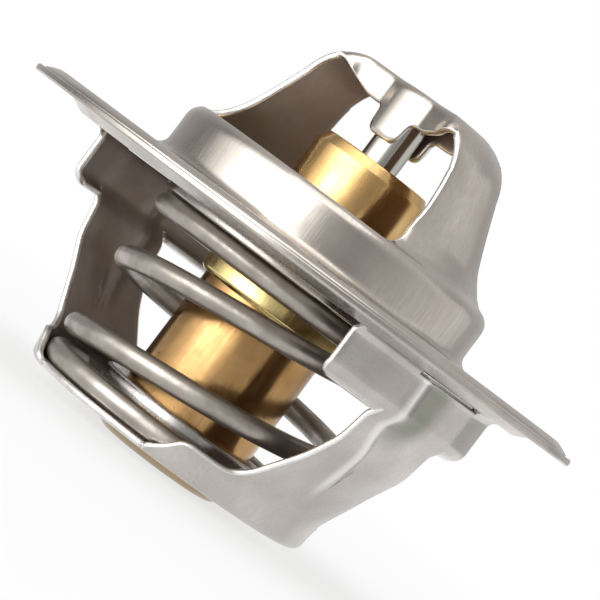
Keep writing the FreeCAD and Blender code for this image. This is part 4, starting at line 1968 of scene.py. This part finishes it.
@dataclass
class Studio:
    """Floor, backdrop light, lamps and camera."""

    floor_height: float = -19.84 * MM
    floor_radius: float = 0.2
    floor_fade: Spot = (0.05, 0.19)
    floor_white: float = 0.72
    floor_tone: float = 0.95
    camera_azimuth: float = 39.0
    camera_distance: float = 0.29
    camera_height: float = 0.5 * MM
    aim_right: float = 1.509 * MM
    aim_height: float = -2.16 * MM
    roll: float = 36.87
    focal_pixels: float = 3555.0
    image_pixels: float = 600.0
    sensor: float = 36.0
    clip: Spot = (0.01, 20.0)
    world_level: float = 0.75
    surround_radius: float = 2.0
    surround_strength: float = 4.2
    surround_top: float = 0.7
    surround_lift: Spot = (0.55, 0.95)
    surround_levels: tuple[Spot, ...] = (
        (-180.0, 0.6), (-140.0, 0.42), (-114.0, 0.28), (-106.0, 0.35), (-97.0, 0.9), (-84.0, 1.6),
        (-70.0, 2.8), (-58.0, 4.2), (-27.0, 4.2), (-14.0, 1.35), (-3.0, 0.5), (20.0, 0.36),
        (52.0, 0.58), (78.0, 0.68), (98.0, 0.88), (122.0, 0.5),
    )

    def place_camera(self) -> None:
        """Adds the camera at the photograph's viewing angle."""
        turn = math.radians(self.camera_azimuth)
        right = Vector((math.cos(turn), math.sin(turn), 0.0))
        camera = link_object("camera", bpy.data.cameras.new("camera"))
        camera.location = direction_to(self.camera_azimuth, 0.0) * self.camera_distance
        camera.location.z += self.camera_height
        target = right * self.aim_right + Vector((0.0, 0.0, self.aim_height))
        look = (target - camera.location).to_track_quat("-Z", "Y").to_matrix().to_4x4()
        tilt = Matrix.Rotation(math.radians(self.roll), 4, "Z")
        camera.matrix_world = Matrix.Translation(camera.location) @ look @ tilt
        camera.data.sensor_width = self.sensor
        camera.data.lens = self.sensor * self.focal_pixels / self.image_pixels
        camera.data.clip_start, camera.data.clip_end = self.clip
        bpy.context.scene.camera = camera

    def white_share(self, wiring: Wiring) -> Socket:
        """1 for the rays that see the background: straight, mirrored or through glass.

        Args:
            wiring: helper for the node tree that needs the value.

        Returns:
            Socket with 1 or 0.
        """
        path = wiring.add("ShaderNodeLightPath")
        seen = wiring.math("MAXIMUM", path.outputs["Is Camera Ray"], path.outputs["Is Glossy Ray"])
        return wiring.math("MAXIMUM", seen, path.outputs["Is Transmission Ray"])

    def light_world(self) -> None:
        """White background and even soft light from all round."""
        world = bpy.data.worlds.new("studio")
        bpy.context.scene.world = world
        world.use_nodes = True
        wiring = Wiring(world.node_tree)
        level = wiring.spread(self.white_share(wiring), (0.0, 1.0), (self.world_level, 1.0))
        background = world.node_tree.nodes["Background"]
        background.inputs["Color"].default_value = WHITE
        world.node_tree.links.new(level, background.inputs["Strength"])

    def floor_material(self) -> Material:
        """Pale floor that keeps the part's shadow and fades into the white background.

        Returns:
            The material.
        """
        material, wiring, place = new_material("pale_floor")
        away = wiring.add("ShaderNodeVectorMath", {"operation": "LENGTH"}, i0=place).outputs["Value"]
        whiteness = wiring.spread(away, self.floor_fade, (self.floor_white, 1.0))
        fade = wiring.times(whiteness, self.white_share(wiring))
        matte = wiring.add("ShaderNodeBsdfDiffuse", None, Color=(*[self.floor_tone] * 3, 1.0)).outputs[0]
        white = wiring.add("ShaderNodeEmission", None, Color=WHITE, Strength=1.0).outputs[0]
        wiring.show(wiring.add("ShaderNodeMixShader", None, i0=fade, i1=matte, i2=white).outputs[0])
        return material

    def place_floor(self) -> None:
        """Adds the round floor."""
        mesh = bmesh.new()
        bmesh.ops.create_circle(mesh, cap_ends=True, segments=96, radius=self.floor_radius)
        floor = link_mesh(mesh, "floor", self.floor_material())
        floor.location.z = self.floor_height

    def surround_material(self) -> Material:
        """Studio walls as the metals mirror them: bright on the left of the camera, dim on its right.

        Returns:
            The material.
        """
        material, wiring, place = new_material("studio_walls")
        parts = wiring.add("ShaderNodeSeparateXYZ", None, i0=place).outputs
        turn = wiring.math("ARCTAN2", parts["X"], wiring.times(parts["Y"], -1.0))
        share = wiring.total(wiring.math("DIVIDE", turn, FULL_TURN), 0.5)
        ramp = wiring.add("ShaderNodeValToRGB", None, Fac=share)
        ramp.color_ramp.interpolation = "EASE"
        stops = ramp.color_ramp.elements
        for number, (angle, level) in enumerate(self.surround_levels):
            stop = stops[number] if number < 2 else stops.new(1.0)
            stop.position = angle / 360.0 + 0.5
            stop.color = (*[level / self.surround_strength] * 3, 1.0)
        stops.new(1.0).color = stops[0].color
        lift = wiring.math("DIVIDE", parts["Z"], self.surround_radius)
        top = (*[self.surround_top / self.surround_strength] * 3, 1.0)
        inputs = {
            "Color": wiring.mix(wiring.spread(lift, self.surround_lift), ramp.outputs["Color"], top),
            "Strength": self.surround_strength,
        }
        wiring.show(wiring.add("ShaderNodeEmission", None, **inputs).outputs[0])
        return material

    def place_surround(self) -> None:
        """Adds the studio walls and ceiling, which only mirroring surfaces show."""
        mesh = bmesh.new()
        bmesh.ops.create_uvsphere(mesh, u_segments=64, v_segments=32, radius=self.surround_radius)
        surround = link_mesh(mesh, "surround", self.surround_material())
        surround.rotation_euler.z = math.radians(self.camera_azimuth)
        surround.visible_camera = False
        surround.visible_diffuse = False
        surround.visible_transmission = False
        surround.visible_shadow = False

    def place_lamps(self) -> None:
        """Adds the soft lamps."""
        side = self.camera_azimuth
        lamps = [
            Lamp("key_left", side - 50.0, 14.0, 0.6, 0.3, 0.5, 1.0),
            Lamp("rim_right", side + 118.0, 12.0, 0.7, 0.25, 0.5, 0.25),
            Lamp("top", side - 20.0, 72.0, 0.7, 0.5, 0.5, 1.2),
        ]
        for lamp in lamps:
            lamp.place()

    def build(self) -> None:
        """Adds everything that isn't part of the object."""
        self.place_camera()
        self.light_world()
        self.place_floor()
        self.place_surround()
        self.place_lamps()
        bpy.context.scene.view_settings.view_transform = "Standard"


# ---------------------------------------------------------------- the part


def dress_hidden_nodes(finishes: dict[str, Material]) -> None:
    """Gives the CAD pieces that stay inside the capsule their materials.

    Args:
        finishes: materials by name.
    """
    for name, finish in (
        ("wax_charge", "wax"),
        ("diaphragm", "rubber"),
        ("rubber_plug", "rubber"),
        ("backup_washer", "polymer"),
        ("retaining_ring", "wire"),
    ):
        material = finishes[finish]
        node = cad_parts[name]
        node.data.materials.clear()
        node.data.materials.append(material)
        LOG.info("%s: dressed with %s", name, material.name)


def main() -> None:
    """Builds the part and its studio."""
    logging.basicConfig(level=logging.INFO, format="%(name)s %(message)s")
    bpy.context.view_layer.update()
    finishes = build_finishes()
    element = WaxElement()
    seat = turned_mesh(SeatRing().outline(), 256)
    piston = turned_mesh(element.piston_outline(), 96)
    guide = turned_mesh(element.guide_outline(), film_and_shade_mark=element.guide_film)
    cup = turned_mesh(element.cup_outline(), film_and_shade_mark=element.cup_foot_tone)
    plate = turned_mesh(ValveDisc().outline())
    for mesh, name, body, node, slot, finish in (
        (Bridge().build(), "bridge_pressing", Body.FRAME, "bridge_frame", "stainless_sheet", "bridge"),
        (Cage().build(), "cage_pressing", Body.FRAME, "spring_cage", "stainless_sheet", "cage"),
        (seat, "seat_flange", Body.FRAME, "seat_ring", "stainless_sheet", "seat"),
        (piston, "piston_rod", Body.FRAME, "piston", "polished_steel", "piston"),
        (guide, "guide_turning", Body.VALVE, "guide_body", "brass", "brass"),
        (cup, "capsule_cup", Body.VALVE, "wax_cup", "copper_alloy", "cup"),
        (plate, "valve_plate", Body.VALVE, "valve_disc", "stainless_sheet", "seat"),
    ):
        place_piece(mesh, Tag(name, body, (node,), slot), finishes[finish])
    MainSpring().place_spring(finishes["wire"])
    dress_hidden_nodes(finishes)
    Studio().build()


if __name__ == "__main__":
    main()
